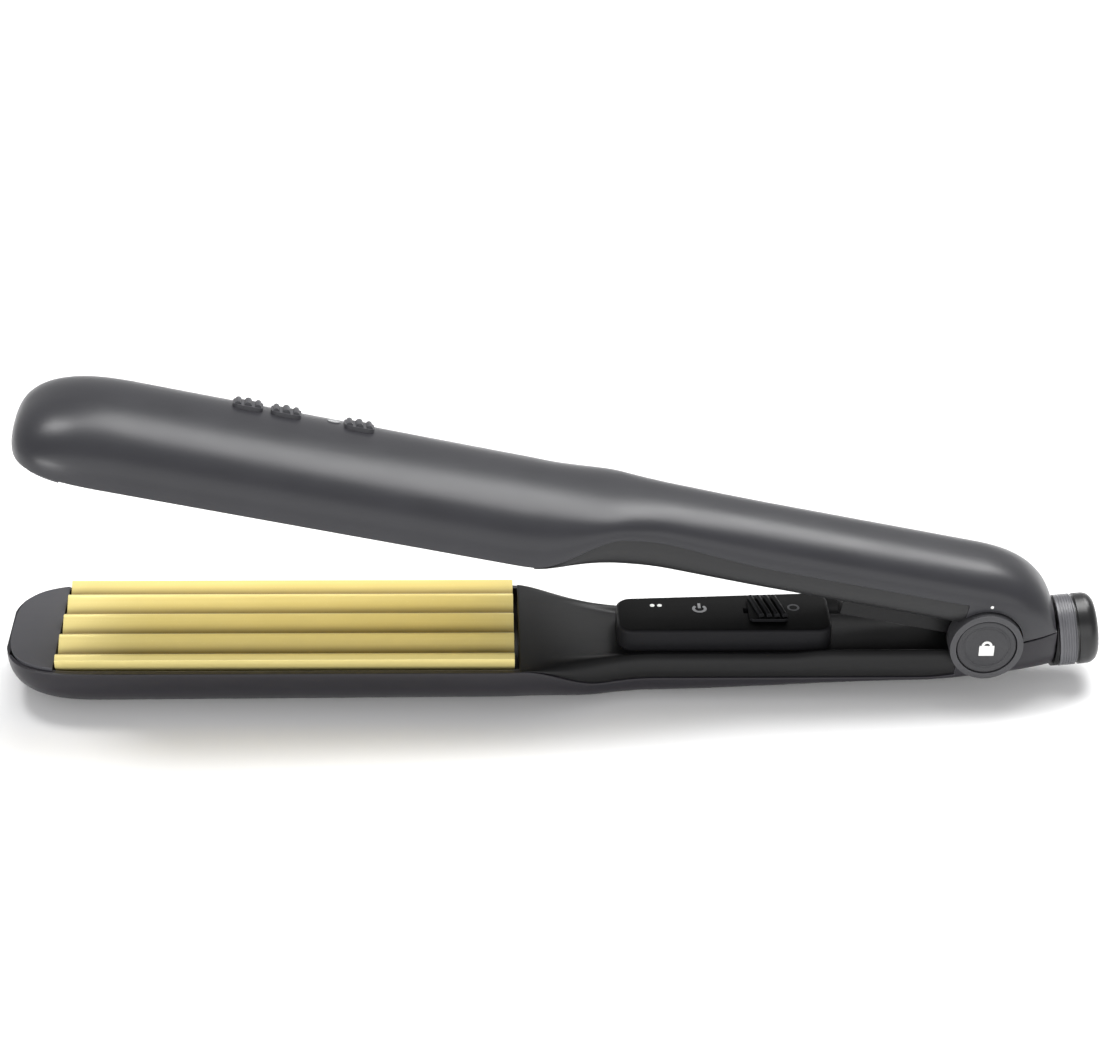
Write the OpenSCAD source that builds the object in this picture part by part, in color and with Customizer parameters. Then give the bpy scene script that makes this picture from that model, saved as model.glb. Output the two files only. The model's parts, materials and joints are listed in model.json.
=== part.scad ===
// Hair crimper: two hinged arms with corrugated hot plates, a push-through hinge lock,
// a slide switch on the lower handle and a swivelling cord collar at the tail.
//
// Each arm is drawn lying under its own inner plane: the hinge axis is the Y axis, the tip
// points to -X, and depth below the inner plane is -Z. The lower arm is used as drawn.
// The upper arm is the mirror image, swung open about the hinge axis.

/* [Arms] */
// Distance from the hinge axis to the tip
tip_reach = 248; // [225:1:270]
// Half width of the head, where the plates are
head_w = 21.2; // [20.6:0.1:23]
// Half width of the handle
grip_w = 13.1; // [12.6:0.1:14]
// Angle between the arms when they are let go
open_angle = 12; // [9:0.5:15]
// Further angle that the arms close past parallel, so that the plates meet
pinch_angle = 0.85; // [0.5:0.05:1]
// Depth of the head below the inner plane, at the neck
head_depth = 17.5; // [17.2:0.1:19]
// Depth of the upper handle below the inner plane
grip_depth = 18.6; // [17.6:0.1:19]
// How much the lower handle thins towards the hinge
grip_rise = 5.1; // [4:0.1:6]
// Wall of the head shells
head_wall = 1.2; // [1:0.1:1.3]
// Wall of the handle
grip_wall = 2; // [1.8:0.1:2.2]

/* [Plates] */
// Length of a crimp plate
plate_len = 115; // [100:1:118]
// Half width of a crimp plate
plate_w = 18.9; // [18:0.1:19]
// Distance between two ridges
ridge_pitch = 9.4; // [7:0.1:12]
// Height of a ridge, valley to crest
ridge_height = 2.9; // [2:0.1:3.2]
// Gap between the two plates when the arms are closed
plate_gap = 0.5; // [0.4:0.1:1]

/* [Hinge] */
// Radius of the ring on each cheek
ring_r = 9.3; // [9:0.1:10]
// Half distance between the faces of the two rings
ring_face = 14.8; // [14.4:0.1:15.5]
// Radius of the lock button
button_r = 7.6; // [7:0.1:7.8]
// Travel of the lock button
lock_travel = 2.2; // [1.5:0.1:2.3]
// Radius of the hinge tube
tube_r = 4; // [3.5:0.1:4.2]

/* [Controls] */
// Length of the raised control panel
panel_len = 55; // [52:1:58]
// Half width of the control panel at its narrow end
panel_w = 8.2; // [8:0.1:8.6]
// How much wider the panel grows towards the hinge, on one side
panel_flare = 2.4; // [0:0.2:2.8]
// Height of the panel above the inner plane
panel_top = 1.0; // [0.6:0.1:1.2]
// Travel of the slide switch
switch_travel = 4; // [3:0.5:4.5]

/* [Cord swivel] */
// Radius of the swivel collar
collar_r = 9.2; // [8.8:0.1:9.6]
// Length of the swivel collar
collar_len = 10.2; // [9.6:0.1:13]
// Radius of the hole for the cord
cord_r = 3.3; // [2.8:0.1:3.6]
// Upward tilt of the collar
collar_tilt = 6; // [4:1:7]

/* [Hidden] */

$fn = 64;

// Lengths along the arm, measured from the hinge axis
tip_len = 26.4;
tip_blunt = 0.4;
tip_swell = 0.7;
head_start = tip_len - tip_blunt - tip_reach;
neck_start = -123;
neck_end = -84;
cover_start = -118.4;
seam_drop_end = -97;
cover_end = -7.05;
tail_start = -16;
tail_end = 19;
heel_start = -5;
heel_end = 17.8;
heel_tuck = 0.35;
taper_start = 3;
taper_run = 21.5;

// Depths below the inner plane
rim_depth = 3.2;
seam_depth = 10.2;
seam_swell = 2;
seam_swell_end = -58;
tail_seam = 4.4;
cover_rim = 2.6;
lower_cover_depth = 4.4;
upper_cover_depth = 4.8;
heel_rim = 3;
rest_depth = head_depth - 0.3;
rim_lip = 0.2;

// Powers of the rounded sections
head_power = 2.27;
grip_power = 2.35;
cover_power = 4;
tail_power = 2.05;
tip_plan_power = 3.3;
upper_tip_power = 2.35;
lower_tip_power = 2.8;
heel_power = 2.3;

// Part frame: the hinge axis stands this far from the middle of the part's box
collar_x = 20.4;
collar_z = -4.2;
collar_round = 3;
part_end = collar_x + collar_round + (collar_len - collar_round) * cos(collar_tilt)
    + (collar_r - collar_round) * sin(collar_tilt);
hinge_x = (tip_reach - part_end) / 2;

// The arms meet behind the hinge on a plane that rises towards the collar
stop_gap = 0.35;
stop_level = -1.2;
stop_slope = tan(collar_tilt);
cheek_gap = 0.05;
arm_gap = 0.35;

plate_end = -119.6;
plate_start = plate_end - plate_len;
plate_mean = -0.9;
plate_base = -5.2;
edge_crest = -17.45;
tray_top = plate_base - 0.1;
tray_floor = -10.6;
heater_t = 1.5;

tongue_w = 8.2;
cheek_in = 8.8;
tongue_r = 7.4;
spring_bay = 4.5;
button_t = 1.8;
recess_floor = ring_face - button_t - lock_travel - 0.2;
pin_r = 2.5;

panel_end = -38.2;
panel_start = panel_end - panel_len;
panel_base = -7.3;
panel_corner = 4;
switch_x = -54.3;
control_y = 1.6;
knob_len = 9.8;
knob_w = 5.6;
light_x = [-83.8, -81.9];
light_y = 4.2;
light_r = 0.6;
knob_slant = 14;

pad_x = [-193.6, -184, -165.5];
pad_y = 9.4;
pad_tilt = 18;
lens_x = -172;

// ---- outlines ------------------------------------------------------------------------

// 0 to 1 with level ends, as x goes from a to b
function ease(a, b, x) = let (u = min(1, max(0, (x - a) / (b - a)))) u * u * (3 - 2 * u);

// Quarter of a rounded box of the given power: 1 at u = 0, 0 at u = 1
function bow(u, power) = pow(1 - pow(min(1, u), power), 1 / power);

// Signed power, for the points of a rounded section
function spow(c, power) = sign(c) * pow(abs(c), 2 / power);

function tip_u(x) = max(0, (head_start - x) / tip_len);
function taper(x) = sqrt(1 - pow(max(0, x - taper_start) / taper_run, 2));
function half_width(x) = x < head_start
    ? head_w * bow(tip_u(x), tip_plan_power)
    : taper(x) * (head_w + (grip_w - head_w) * ease(neck_start, neck_end, x));
function wall(x) = head_wall + (grip_wall - head_wall) * ease(neck_start, neck_end, x);

// Depth of the outer face at the middle of the arm
tip_crown = head_depth + tip_swell;
function head_crown(x) = head_depth
    + tip_swell * max(0, neck_start - x) / (neck_start - head_start);
function lower_crown(x) = head_crown(x) - grip_rise * ease(neck_end - 4, -4, x);
function heel_u(x) = max(0, x - heel_start) / (heel_end + heel_tuck - heel_start);
function upper_crown(x) = x < heel_start
    ? head_crown(x) + (grip_depth - head_depth) * ease(neck_start, neck_end, x)
    : heel_rim + (grip_depth - heel_rim) * bow(heel_u(x), heel_power);
function crown(x, upper) = x < head_start
    ? rim_depth + (tip_crown - rim_depth) * bow(tip_u(x), upper ? upper_tip_power : lower_tip_power)
    : upper ? upper_crown(x) : lower_crown(x);

// The upper seam stands a little deeper where it leaves the neck
function swell(x) = seam_swell * ease(cover_start, seam_drop_end, x)
    * (1 - ease(neck_end - 8, seam_swell_end, x));

// Depth of the widest line of the section, where shell and handle cover meet
function seam(x, upper) = x < heel_start
    ? rim_depth + (seam_depth - rim_depth) * ease(cover_start, seam_drop_end, x)
        + (upper ? swell(x) : -(seam_depth - tail_seam) * ease(tail_start, tail_end, x))
    : upper ? seam_depth * crown(x, upper) / grip_depth
    : seam_depth - (seam_depth - tail_seam) * ease(tail_start, tail_end, x);

// The plane on which the arms meet behind the hinge, in the frame of each arm
function stop_z(x, upper) = upper
    ? -(stop_level + stop_gap + x * (sin(open_angle) + stop_slope * cos(open_angle)))
        / (cos(open_angle) - stop_slope * sin(open_angle))
    : stop_level + x * stop_slope;
function rim_z(x, upper) = x < cover_end ? rim_lip - seam(x, upper) : stop_z(x, upper);

// ---- shells --------------------------------------------------------------------------

arc_n = 22;
cavity_at = 2;
tip_steps = 11;

tip_turn = acos(1 - tip_blunt / tip_len);
function tip_station(i) =
    head_start - tip_len * cos(tip_turn + (90 - tip_turn) * i / tip_steps);
function shell_stations(upper) = concat(
    [for (i = [0 : tip_steps]) tip_station(i)],
    [for (x = [head_start + 14 : 14 : neck_start - 5]) x],
    [for (x = [neck_start : 3 : neck_end]) x],
    [for (x = [neck_end + 7 : 8 : tail_start - 6]) x],
    [tail_start, tail_start + 4],
    [cover_end - 0.25, cover_end + 0.25],
    [for (x = [cover_end + 4 : 3 : 12]) x],
    upper ? [14.2, 15.8, 17, 17.5, heel_end] : [14.5, 17, tail_end]
);

// The upper tip swells beyond its rim, most at half its height
tip_bulge = 1;
bulge_full = head_start - 0.8 * tip_len;
function rise_share(z) = min(1, max(0, (-z - rim_depth) / (tip_crown - rim_depth)));
function bulge(x, z, upper) =
    upper ? tip_bulge * ease(head_start, bulge_full, x) * sin(180 * pow(rise_share(z), 0.9)) : 0;

// One bowl-shaped section: rim, rounded bottom, rim. The lower arm is flat underneath.
function bowl(x, upper, inset) =
    let (w = half_width(x) - inset)
    let (top = rim_z(x, upper))
    let (mid = min(top, -seam(x, upper)))
    let (low = upper ? -99 : inset - rest_depth)
    let (deep = max(0.1, crown(x, upper) - inset + mid))
    let (power = head_power + (grip_power - head_power) * ease(neck_start, neck_end, x)
        - (upper ? 0 : (grip_power - tail_power) * ease(tail_start, tail_end, x)))
    [for (j = [0 : arc_n])
        let (a = 180 * (j - 1) / (arc_n - 2))
        j == 0 ? [x, -w, top]
        : j == arc_n ? [x, w, top]
        : let (z = max(low, mid - deep * spow(sin(a), power)))
            [x - bulge(x, z, upper), -w * spow(cos(a), power), z]];

// Hollow bowl lofted through its stations: solid up to station cavity_at, open above
module bowl_loft(upper) {
    xs = shell_stations(upper);
    n = len(xs);
    row = arc_n + 1;
    outer = [for (x = xs) each bowl(x, upper, 0)];
    inner = [for (i = [cavity_at : n - 1]) each bowl(xs[i], upper, wall(xs[i]))];
    base = n * row;
    o = function (i, j) i * row + j;
    k = function (i, j) base + (i - cavity_at) * row + j;
    skin = [for (i = [0 : n - 2], j = [0 : arc_n - 1]) each
        [[o(i, j), o(i + 1, j + 1), o(i, j + 1)], [o(i, j), o(i + 1, j), o(i + 1, j + 1)]]];
    lining = [for (i = [cavity_at : n - 2], j = [0 : arc_n - 1]) each
        [[k(i, j), k(i, j + 1), k(i + 1, j + 1)], [k(i, j), k(i + 1, j + 1), k(i + 1, j)]]];
    rims = [for (i = [cavity_at : n - 2]) each [
        [o(i, 0), k(i, 0), k(i + 1, 0)],
        [o(i, 0), k(i + 1, 0), o(i + 1, 0)],
        [o(i, arc_n), o(i + 1, arc_n), k(i + 1, arc_n)],
        [o(i, arc_n), k(i + 1, arc_n), k(i, arc_n)]]];
    tip_top = [for (i = [0 : cavity_at - 2]) each
        [[o(i, 0), o(i, arc_n), o(i + 1, arc_n)], [o(i, 0), o(i + 1, arc_n), o(i + 1, 0)]]];
    c = cavity_at;
    lip_top = [[o(c - 1, 0), o(c - 1, arc_n), o(c, arc_n), k(c, arc_n), k(c, 0), o(c, 0)]];
    tip_face = [[for (j = [0 : arc_n]) o(0, j)]];
    cavity_face = [[for (j = [arc_n : -1 : 0]) k(c, j)]];
    end_face = [for (j = [0 : arc_n - 1]) each [
        [o(n - 1, j), k(n - 1, j + 1), o(n - 1, j + 1)],
        [o(n - 1, j), k(n - 1, j), k(n - 1, j + 1)]]];
    polyhedron(
        concat(outer, inner),
        concat(skin, lining, rims, tip_top, lip_top, tip_face, cavity_face, end_face),
        convexity = 8
    );
}

// The round opening that the hinge ring stands in
module ring_cut(gap) {
    rotate([90, 0, 0])
        cylinder(r = ring_r + gap, h = 40, center = true, $fn = 96);
}

// ---- handle covers -------------------------------------------------------------------

lid_n = 22;
lid_least = 0.3;
trough_start = -114;
trough_full = -90;
trough_floor = 0.66;
trough_edge = 0.86;
lid_stations = concat(
    [cover_start],
    [for (x = [neck_start + 6 : 3 : neck_end]) x],
    [for (x = [neck_end + 7 : 8 : tail_start - 6]) x],
    [tail_start, tail_start + 4, cover_end - 0.3]
);

// Depth of a cover's rims below the plane between the arms. The lower rims rise at the hinge.
rim_rise = 1;
rim_rise_start = -50;
rim_rise_end = -40;
function rim_level(x, upper) =
    cover_rim - (upper ? 0 : rim_rise * ease(rim_rise_start, rim_rise_end, x));

// How far the middle of a cover lies below its two rims, which rise to the height given
function trough(x, rise, upper) = ease(trough_start, trough_full, x)
    * min((upper ? upper_cover_depth : lower_cover_depth) - rim_level(x, upper), rise - lid_least);

// One section of a cover, closed: rim, trough and rim outside, back underneath
function lid(x, upper) =
    let (w = half_width(x))
    let (t = grip_wall)
    let (foot = rim_lip + 0.05 - seam(x, upper))
    let (rise = max(lid_least, -foot - rim_level(x, upper)))
    let (dip = trough(x, rise, upper))
    let (low = rise - dip - t)
    concat(
        [for (j = [0 : lid_n]) let (c = spow(cos(180 * j / lid_n), cover_power))
            [x, -w * c, foot + rise * spow(sin(180 * j / lid_n), cover_power)
                - dip * ease(trough_edge, trough_floor, abs(c))]],
        [for (j = [lid_n : -1 : 0]) let (a = 180 * j / lid_n)
            [x, -(w - t) * spow(cos(a), cover_power), foot + low * spow(sin(a), cover_power)]]
    );

module lid_loft(upper) {
    n = len(lid_stations);
    row = 2 * (lid_n + 1);
    points = [for (x = lid_stations) each lid(x, upper)];
    p = function (i, j) i * row + j % row;
    sides = [for (i = [0 : n - 2], j = [0 : row - 1]) each
        [[p(i, j), p(i, j + 1), p(i + 1, j + 1)], [p(i, j), p(i + 1, j + 1), p(i + 1, j)]]];
    ends = [for (j = [0 : lid_n - 1]) each [
        [p(0, j), p(0, row - 2 - j), p(0, j + 1)],
        [p(0, j), p(0, row - 1 - j), p(0, row - 2 - j)],
        [p(n - 1, j), p(n - 1, j + 1), p(n - 1, row - 2 - j)],
        [p(n - 1, j), p(n - 1, row - 2 - j), p(n - 1, row - 1 - j)]]];
    polyhedron(points, concat(sides, ends), convexity = 8);
}

// ---- shared pieces, drawn in the arm's own frame -------------------------------------

// Rounded bar standing on the XY plane
module rounded_bar(length, half, height, corner) {
    for (y = [-half + corner, half - corner])
        for (x = [corner, length - corner])
            translate([x, y, 0])
                cylinder(r = corner, h = height);
    translate([corner, -half, 0])
        cube([length - 2 * corner, 2 * half, height]);
    translate([0, -half + corner, 0])
        cube([length, 2 * (half - corner), height]);
}

module bar_x(x0, x1, y, z, r) {
    translate([x0, y, z])
        rotate([0, 90, 0])
            cylinder(r = r, h = x1 - x0, $fn = 24);
}

// Height of the corrugation at y: a zigzag with rounded crests and valleys
wave_sharp = 0.96;
function wave(y) = ridge_height / 2
    * asin(wave_sharp * cos(360 * (y - edge_crest) / ridge_pitch)) / asin(wave_sharp);

wave_steps = 72;

// Cross-section of a plate: waves above, a stepped foot below. The upper plate's valleys
// stand over the lower plate's crests.
function plate_section(mean, turn) = concat(
    [for (i = [0 : wave_steps])
        let (y = -plate_w + 2 * plate_w * i / wave_steps) [y, mean + turn * wave(y)]],
    [[plate_w, -2.1], [plate_w - 2.5, plate_base], [plate_w - 3.5, plate_base],
        [plate_w - 3.5, plate_base - 1.4], [3.5 - plate_w, plate_base - 1.4],
        [3.5 - plate_w, plate_base], [2.5 - plate_w, plate_base], [-plate_w, -2.1]]
);

module crimp_plate(mean, turn) {
    translate([plate_start, 0, 0])
        rotate([90, 0, 90])
            difference() {
                linear_extrude(plate_len)
                    polygon(plate_section(mean, turn));
                translate([-10, plate_base - 2.4, -1])
                    cube([20, 2.4, plate_len + 2]);
            }
}

// Flat pad that closes the tip, standing on the shell's rim
pad_steps = 20;
pad_inset = 1;
pad_t = 0.8;
module tip_pad() {
    pad_end = plate_start - 0.6;
    pad_long = tip_len - pad_inset;
    turn = acos(pow((head_start - pad_end) / pad_long, tip_plan_power / 2));
    outline = [for (i = [-pad_steps : pad_steps])
        let (a = turn * i / pad_steps)
        [head_start - pad_long * spow(cos(a), tip_plan_power),
            (head_w - pad_inset) * spow(sin(a), tip_plan_power)]];
    translate([0, 0, rim_lip - rim_depth + 0.02])
        linear_extrude(pad_t)
            polygon(outline);
}

// Insulating tray that carries the plate and holds the heater from below
tray_ledge = 16.2;
tray_half = 11.2;
module jaw_tray() {
    tray_x = plate_start + 1;
    tray_len = plate_len - 1;
    difference() {
        union() {
            translate([tray_x, -tray_ledge, tray_top - 2])
                cube([tray_len, 2 * tray_ledge, 2]);
            translate([tray_x + 1, -tray_half, tray_floor])
                cube([tray_len - 2, 2 * tray_half, tray_top - tray_floor - 1]);
        }
        translate([tray_x - 1, 3.3 - plate_w, tray_top - 1.5])
            cube([tray_len + 2, 2 * plate_w - 6.6, 3]);
        translate([tray_x + 3, -10, tray_floor + 1.2])
            cube([tray_len - 6, 20, 10]);
    }
}

module heater() {
    translate([plate_start + 9, -9.5, plate_base - 0.02 - heater_t])
        cube([plate_len - 20, 19, heater_t]);
    for (y = [-4, 4])
        translate([plate_end - 12, y - 1.2, plate_base - heater_t - 0.6])
            cube([9, 2.4, 0.5]);
}

// Two bent steel clips that press the heater against the plate
module heater_clips() {
    top = plate_base - heater_t - 0.7;
    for (x = [plate_start + 24, plate_start + 78])
        difference() {
            translate([x, -9.4, tray_floor + 1.25])
                cube([9, 18.8, top - tray_floor - 1.25]);
            translate([x - 1, -8.8, tray_floor])
                cube([11, 17.6, top - tray_floor - 0.6]);
            translate([x + 4.5, 0, top - 1])
                cylinder(r = 1.6, h = 3);
        }
}

module thermistor() {
    bead_z = plate_base - heater_t - 1.05;
    bar_x(plate_start + 57, plate_start + 62, 0, bead_z, 0.9);
    for (y = [-0.5, 0.5])
        bar_x(plate_start + 61.8, plate_end - 14, y, bead_z - 0.6, 0.3);
}

module leads(far, z) {
    for (y = [-5.8, -4.3, 4.3, 5.8])
        bar_x(plate_end + 4, far, y, z, 0.6);
}

// Cross-head screws whose heads stand in the cover, axis along Z, heads up
screw_head_r = 2.2;
screw_len = 7.2;
module screw() {
    difference() {
        union() {
            translate([0, 0, -1.1])
                cylinder(r = screw_head_r, h = 1.1);
            translate([0, 0, -screw_len])
                cylinder(r = 1.1, h = screw_len - 1);
        }
        for (a = [0, 90])
            rotate([0, 0, a])
                translate([-1.3, -0.25, -0.7])
                    cube([2.6, 0.5, 1]);
    }
}

// Screws that hold the upper handle cover, sunk a little below its face
upper_screw_x = [-102, -58, -17];
module cover_screws(gap) {
    for (x = upper_screw_x)
        translate([x, 0, -upper_cover_depth - 0.2])
            if (gap == 0)
                screw();
            else {
                translate([0, 0, -1.2])
                    cylinder(r = screw_head_r + gap, h = 4);
                translate([0, 0, -6])
                    cylinder(r = 1.1 + gap, h = 6);
            }
}

// Screws under the lower handle, heads down: each stands in a seat moulded into the shell
// and reaches into a threaded sleeve that is set in the cover
lower_screw_x = [-104, -26];
seat_top = 4.6;
seat_well = 1.7;
function under_z(x) = -min(rest_depth, lower_crown(x));
module under_screws() {
    for (x = lower_screw_x)
        translate([x, 0, under_z(x) + 0.3])
            rotate([180, 0, 0])
                screw();
}

module screw_seats() {
    for (x = lower_screw_x)
        translate([x, 0, under_z(x) + 0.6])
            cylinder(r = 3.2, h = seat_top - 0.6);
}

module seat_holes() {
    for (x = lower_screw_x)
        translate([x, 0, under_z(x)]) {
            translate([0, 0, -5])
                cylinder(r = screw_head_r + 0.2, h = 5 + seat_well);
            cylinder(r = 1.25, h = 20);
        }
}

sleeve_r = 2.6;
sleeve_top = -lower_cover_depth - 1;
module sleeves() {
    for (x = lower_screw_x)
        translate([x, 0, under_z(x) + seat_top + 0.05])
            difference() {
                cylinder(r = sleeve_r, h = sleeve_top - 0.1 - under_z(x) - seat_top);
                translate([0, 0, -1])
                    cylinder(r = 1.15, h = 4.6);
            }
}

module sleeve_pockets() {
    for (x = lower_screw_x)
        translate([x, 0, sleeve_top - 8])
            cylinder(r = sleeve_r + 0.05, h = 8);
}

// ---- frames --------------------------------------------------------------------------

module lower_arm() {
    translate([hinge_x, 0, rest_depth])
        children();
}

module upper_arm() {
    translate([hinge_x, 0, rest_depth])
        rotate([0, open_angle, 0])
            mirror([0, 0, 1])
                children();
}

// The upper arm's plate and heater lie parallel to the lower ones when the arms are closed
module upper_jaw() {
    upper_arm()
        rotate([0, -pinch_angle, 0])
            children();
}

// Collar frame: +X is the cord's way out
module cord_line() {
    translate([hinge_x + collar_x, 0, rest_depth + collar_z])
        rotate([0, -collar_tilt, 0])
            children();
}

// Tube along X in the current frame
module ring_x(x0, x1, outer, inner) {
    translate([x0, 0, 0])
        rotate([0, 90, 0])
            difference() {
                cylinder(r = outer, h = x1 - x0);
                translate([0, 0, -1])
                    cylinder(r = inner, h = x1 - x0 + 2);
            }
}

// Disc or rod along Y in the current frame
module disc_y(y0, y1, r) {
    translate([0, y0, 0])
        rotate([-90, 0, 0])
            cylinder(r = r, h = y1 - y0);
}

// ---- lower arm -----------------------------------------------------------------------

module lower_shell() {
    color("#37353b")
        lower_arm()
            difference() {
                union() {
                    bowl_loft(false);
                    screw_seats();
                }
                ring_cut(cheek_gap);
                seat_holes();
            }
}

module lower_handle_cover() {
    color("#26272a")
        lower_arm()
            difference() {
                lid_loft(false);
                ring_cut(cheek_gap);
                sleeve_pockets();
                translate([0, 0, panel_base - 3])
                    linear_extrude(9)
                        panel_plan(0.1);
            }
}

module lower_tip_pad() {
    color("#58585d")
        lower_arm()
            tip_pad();
}

module lower_crimp_plate() {
    color("#cdb765")
        lower_arm()
            crimp_plate(plate_mean, 1);
}

module lower_jaw_tray() {
    color("#1c1c1e")
        lower_arm()
            jaw_tray();
}

module lower_heater() {
    color("#d9d5cc")
        lower_arm()
            heater();
}

module lower_heater_clips() {
    color("#b9bcc0")
        lower_arm()
            heater_clips();
}

module lower_thermistor() {
    color("#a8502e")
        lower_arm()
            thermistor();
}

module lower_leads() {
    color("#ededed")
        lower_arm()
            leads(panel_start + 4, -12.8);
}

module lower_screws() {
    color("#2c2d30")
        lower_arm()
            under_screws();
}

module screw_sleeves() {
    color("#c3a05c")
        lower_arm()
            sleeves();
}

// ---- hinge, fixed to the lower arm ---------------------------------------------------

module cheek(side) {
    y_in = side < 0 ? -ring_face : cheek_in;
    y_recess = side < 0 ? -ring_face - 1 : recess_floor;
    difference() {
        union() {
            disc_y(y_in, y_in + ring_face - cheek_in, ring_r);
            translate([-7, side < 0 ? -10.4 : cheek_in, -7.9])
                cube([12, 10.4 - cheek_in, 7.9]);
        }
        disc_y(y_recess, y_recess + ring_face + 1 - recess_floor, button_r + 0.2);
        disc_y(-20, 20, tube_r);
    }
}

module hinge_yoke() {
    color("#2a2b2e")
        lower_arm() {
            cheek(-1);
            cheek(1);
            translate([-7, -9.2, -8.8])
                cube([12, 18.4, 1.1]);
        }
}

module axle_tube() {
    color("#c3c6ca")
        lower_arm()
            difference() {
                disc_y(-recess_floor, recess_floor, tube_r);
                disc_y(-20, 20, pin_r + 0.06);
            }
}

module hinge_washers() {
    color("#d8d8d0")
        lower_arm()
            for (y = [-cheek_in + 0.1, cheek_in - 0.5])
                difference() {
                    disc_y(y, y + 0.4, 7.6);
                    disc_y(-20, 20, tube_r + 0.05);
                }
}

// Torsion spring round the tube: one unbroken wire, with a leg at each end
spring_r = 5.5;
wire_r = 0.6;
spring_turns = 4;
coil_rings = 14;
coil_sides = 6;
coil_steps = spring_turns * coil_rings;
coil_pitch = 1.7;
coil_start = 250;
function coil_at(t) =
    let (a = coil_start + 360 * t)
    [spring_r * cos(a), coil_pitch * (t - spring_turns / 2), spring_r * sin(a)];
function coil_along(t) =
    let (a = coil_start + 360 * t)
    [-sin(a), 0, cos(a)];
function coil_path() =
    let (first = coil_at(0))
    let (last = coil_at(spring_turns))
    concat(
        [first - 3 * coil_along(0)],
        [for (i = [0 : coil_steps]) coil_at(i / coil_rings)],
        [last + 3 * coil_along(spring_turns)]
    );

module tube_sweep(path, r, sides) {
    n = len(path);
    across = [0, 1, 0];
    points = [for (i = [0 : n - 1])
        let (d = path[min(n - 1, i + 1)] - path[max(0, i - 1)])
        let (u = cross(d, across) / norm(cross(d, across)))
        let (v = cross(u, d) / norm(d))
        for (s = [0 : sides - 1]) path[i] + r * (cos(360 * s / sides) * u + sin(360 * s / sides) * v)];
    q = function (i, s) i * sides + s % sides;
    skin = [for (i = [0 : n - 2], s = [0 : sides - 1]) each
        [[q(i, s), q(i, s + 1), q(i + 1, s + 1)], [q(i, s), q(i + 1, s + 1), q(i + 1, s)]]];
    ends = [[for (s = [sides - 1 : -1 : 0]) s], [for (s = [0 : sides - 1]) q(n - 1, s)]];
    polyhedron(points, concat(skin, ends), convexity = 8);
}

module hinge_spring() {
    color("#9fa2a6")
        lower_arm()
            tube_sweep(coil_path(), wire_r, coil_sides);
}

// Flat plate between the walls behind the hinge, on the plane where the arms meet
module stop_plate(upper, x0, x1, t, side) {
    steps = 8;
    xs = [for (i = [0 : steps]) x0 + (x1 - x0) * i / steps];
    rise = (stop_z(x1, upper) - stop_z(x0, upper)) / (x1 - x0);
    angle = atan(rise);
    edge = [for (x = xs) half_width(x) - wall(x) - 0.1];
    outline = concat(
        [for (i = [0 : steps]) [(xs[i] - x0) / cos(angle), edge[i]]],
        [for (i = [steps : -1 : 0]) [(xs[i] - x0) / cos(angle), -edge[i]]]
    );
    translate([x0, 0, stop_z(x0, upper)])
        rotate([0, -angle, 0])
            translate([0, 0, side > 0 ? 0 : -t])
                linear_extrude(t)
                    polygon(outline);
}

module tail_stop_plate() {
    color("#232426")
        lower_arm()
            stop_plate(false, 10.4, tail_end - 0.1, 1, -1);
}

// ---- cord swivel, fixed side ---------------------------------------------------------

socket_r = 4;
core_r = 3;
socket_in = -7;
collar_gap = 0.3;
module tail_box(x0, x1, z0, z1) {
    lower_arm()
        translate([x0, -12, z0])
            cube([x1 - x0, 24, z1 - z0]);
}

module swivel_socket() {
    color("#2a2b2e") {
        cord_line()
            ring_x(socket_in, -collar_gap, socket_r, core_r + 0.06);
        intersection() {
            cord_line()
                ring_x(-4, -2.4, 5.6, socket_r - 0.5);
            tail_box(8, tail_end, -14, stop_level - 1);
        }
        intersection() {
            cord_line()
                ring_x(-3, -collar_gap, collar_r - 0.1, socket_r - 0.5);
            tail_box(tail_end + 0.4, tail_end + 6, -20, 20);
        }
    }
}

module contact_brushes() {
    color("#c48a4a")
        cord_line()
            for (x = [-9.4, -10.9])
                translate([x, -1.5, -4.4])
                    cube([0.6, 3, 1.4]);
}

// ---- controls ------------------------------------------------------------------------

// Points of a rounded corner about c, turning from angle a to angle b
corner_steps = 8;
function corner(c, r, a, b) = [for (i = [0 : corner_steps])
    c + r * [cos(a + (b - a) * i / corner_steps), sin(a + (b - a) * i / corner_steps)]];

// Plan of the panel: straight in front, flaring towards the hinge behind
module panel_plan(grow) {
    r = panel_corner + grow;
    front = -panel_w + panel_corner;
    back = panel_w - panel_corner;
    near = panel_start + panel_corner;
    far = panel_end - panel_corner;
    turn = 90 + atan(panel_flare / (far - near));
    polygon(concat(
        corner([near, front], r, 180, 270),
        corner([far, front], r, 270, 360),
        corner([far, back + panel_flare], r, 0, turn),
        corner([near, back], r, turn, 180)
    ));
}

module control_panel() {
    color("#222326")
        lower_arm()
            difference() {
                translate([0, 0, panel_base])
                    linear_extrude(panel_top - panel_base)
                        panel_plan(0);
                translate([0, 0, panel_base - 1])
                    linear_extrude(panel_top - panel_base - 0.5)
                        panel_plan(-1.6);
                translate([switch_x - switch_travel - 2.2, control_y - 1.3, -3])
                    cube([switch_travel + 4, 2.6, 6]);
                for (x = light_x)
                    translate([x, light_y, -3])
                        cylinder(r = light_r + 0.05, h = 6);
            }
}

module control_board() {
    color("#2f6b45")
        lower_arm() {
            translate([panel_start + 2, -7.6, -9.4])
                cube([panel_len - 4, 15.2, 1.6]);
            translate([-72, -4, -7.8])
                cube([6, 6, 1.2]);
            translate([-44.5, -2, -7.8])
                cylinder(r = 2.2, h = 4.5);
            translate([-90, -5, -7.8])
                cube([4, 7, 3]);
        }
}

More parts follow.
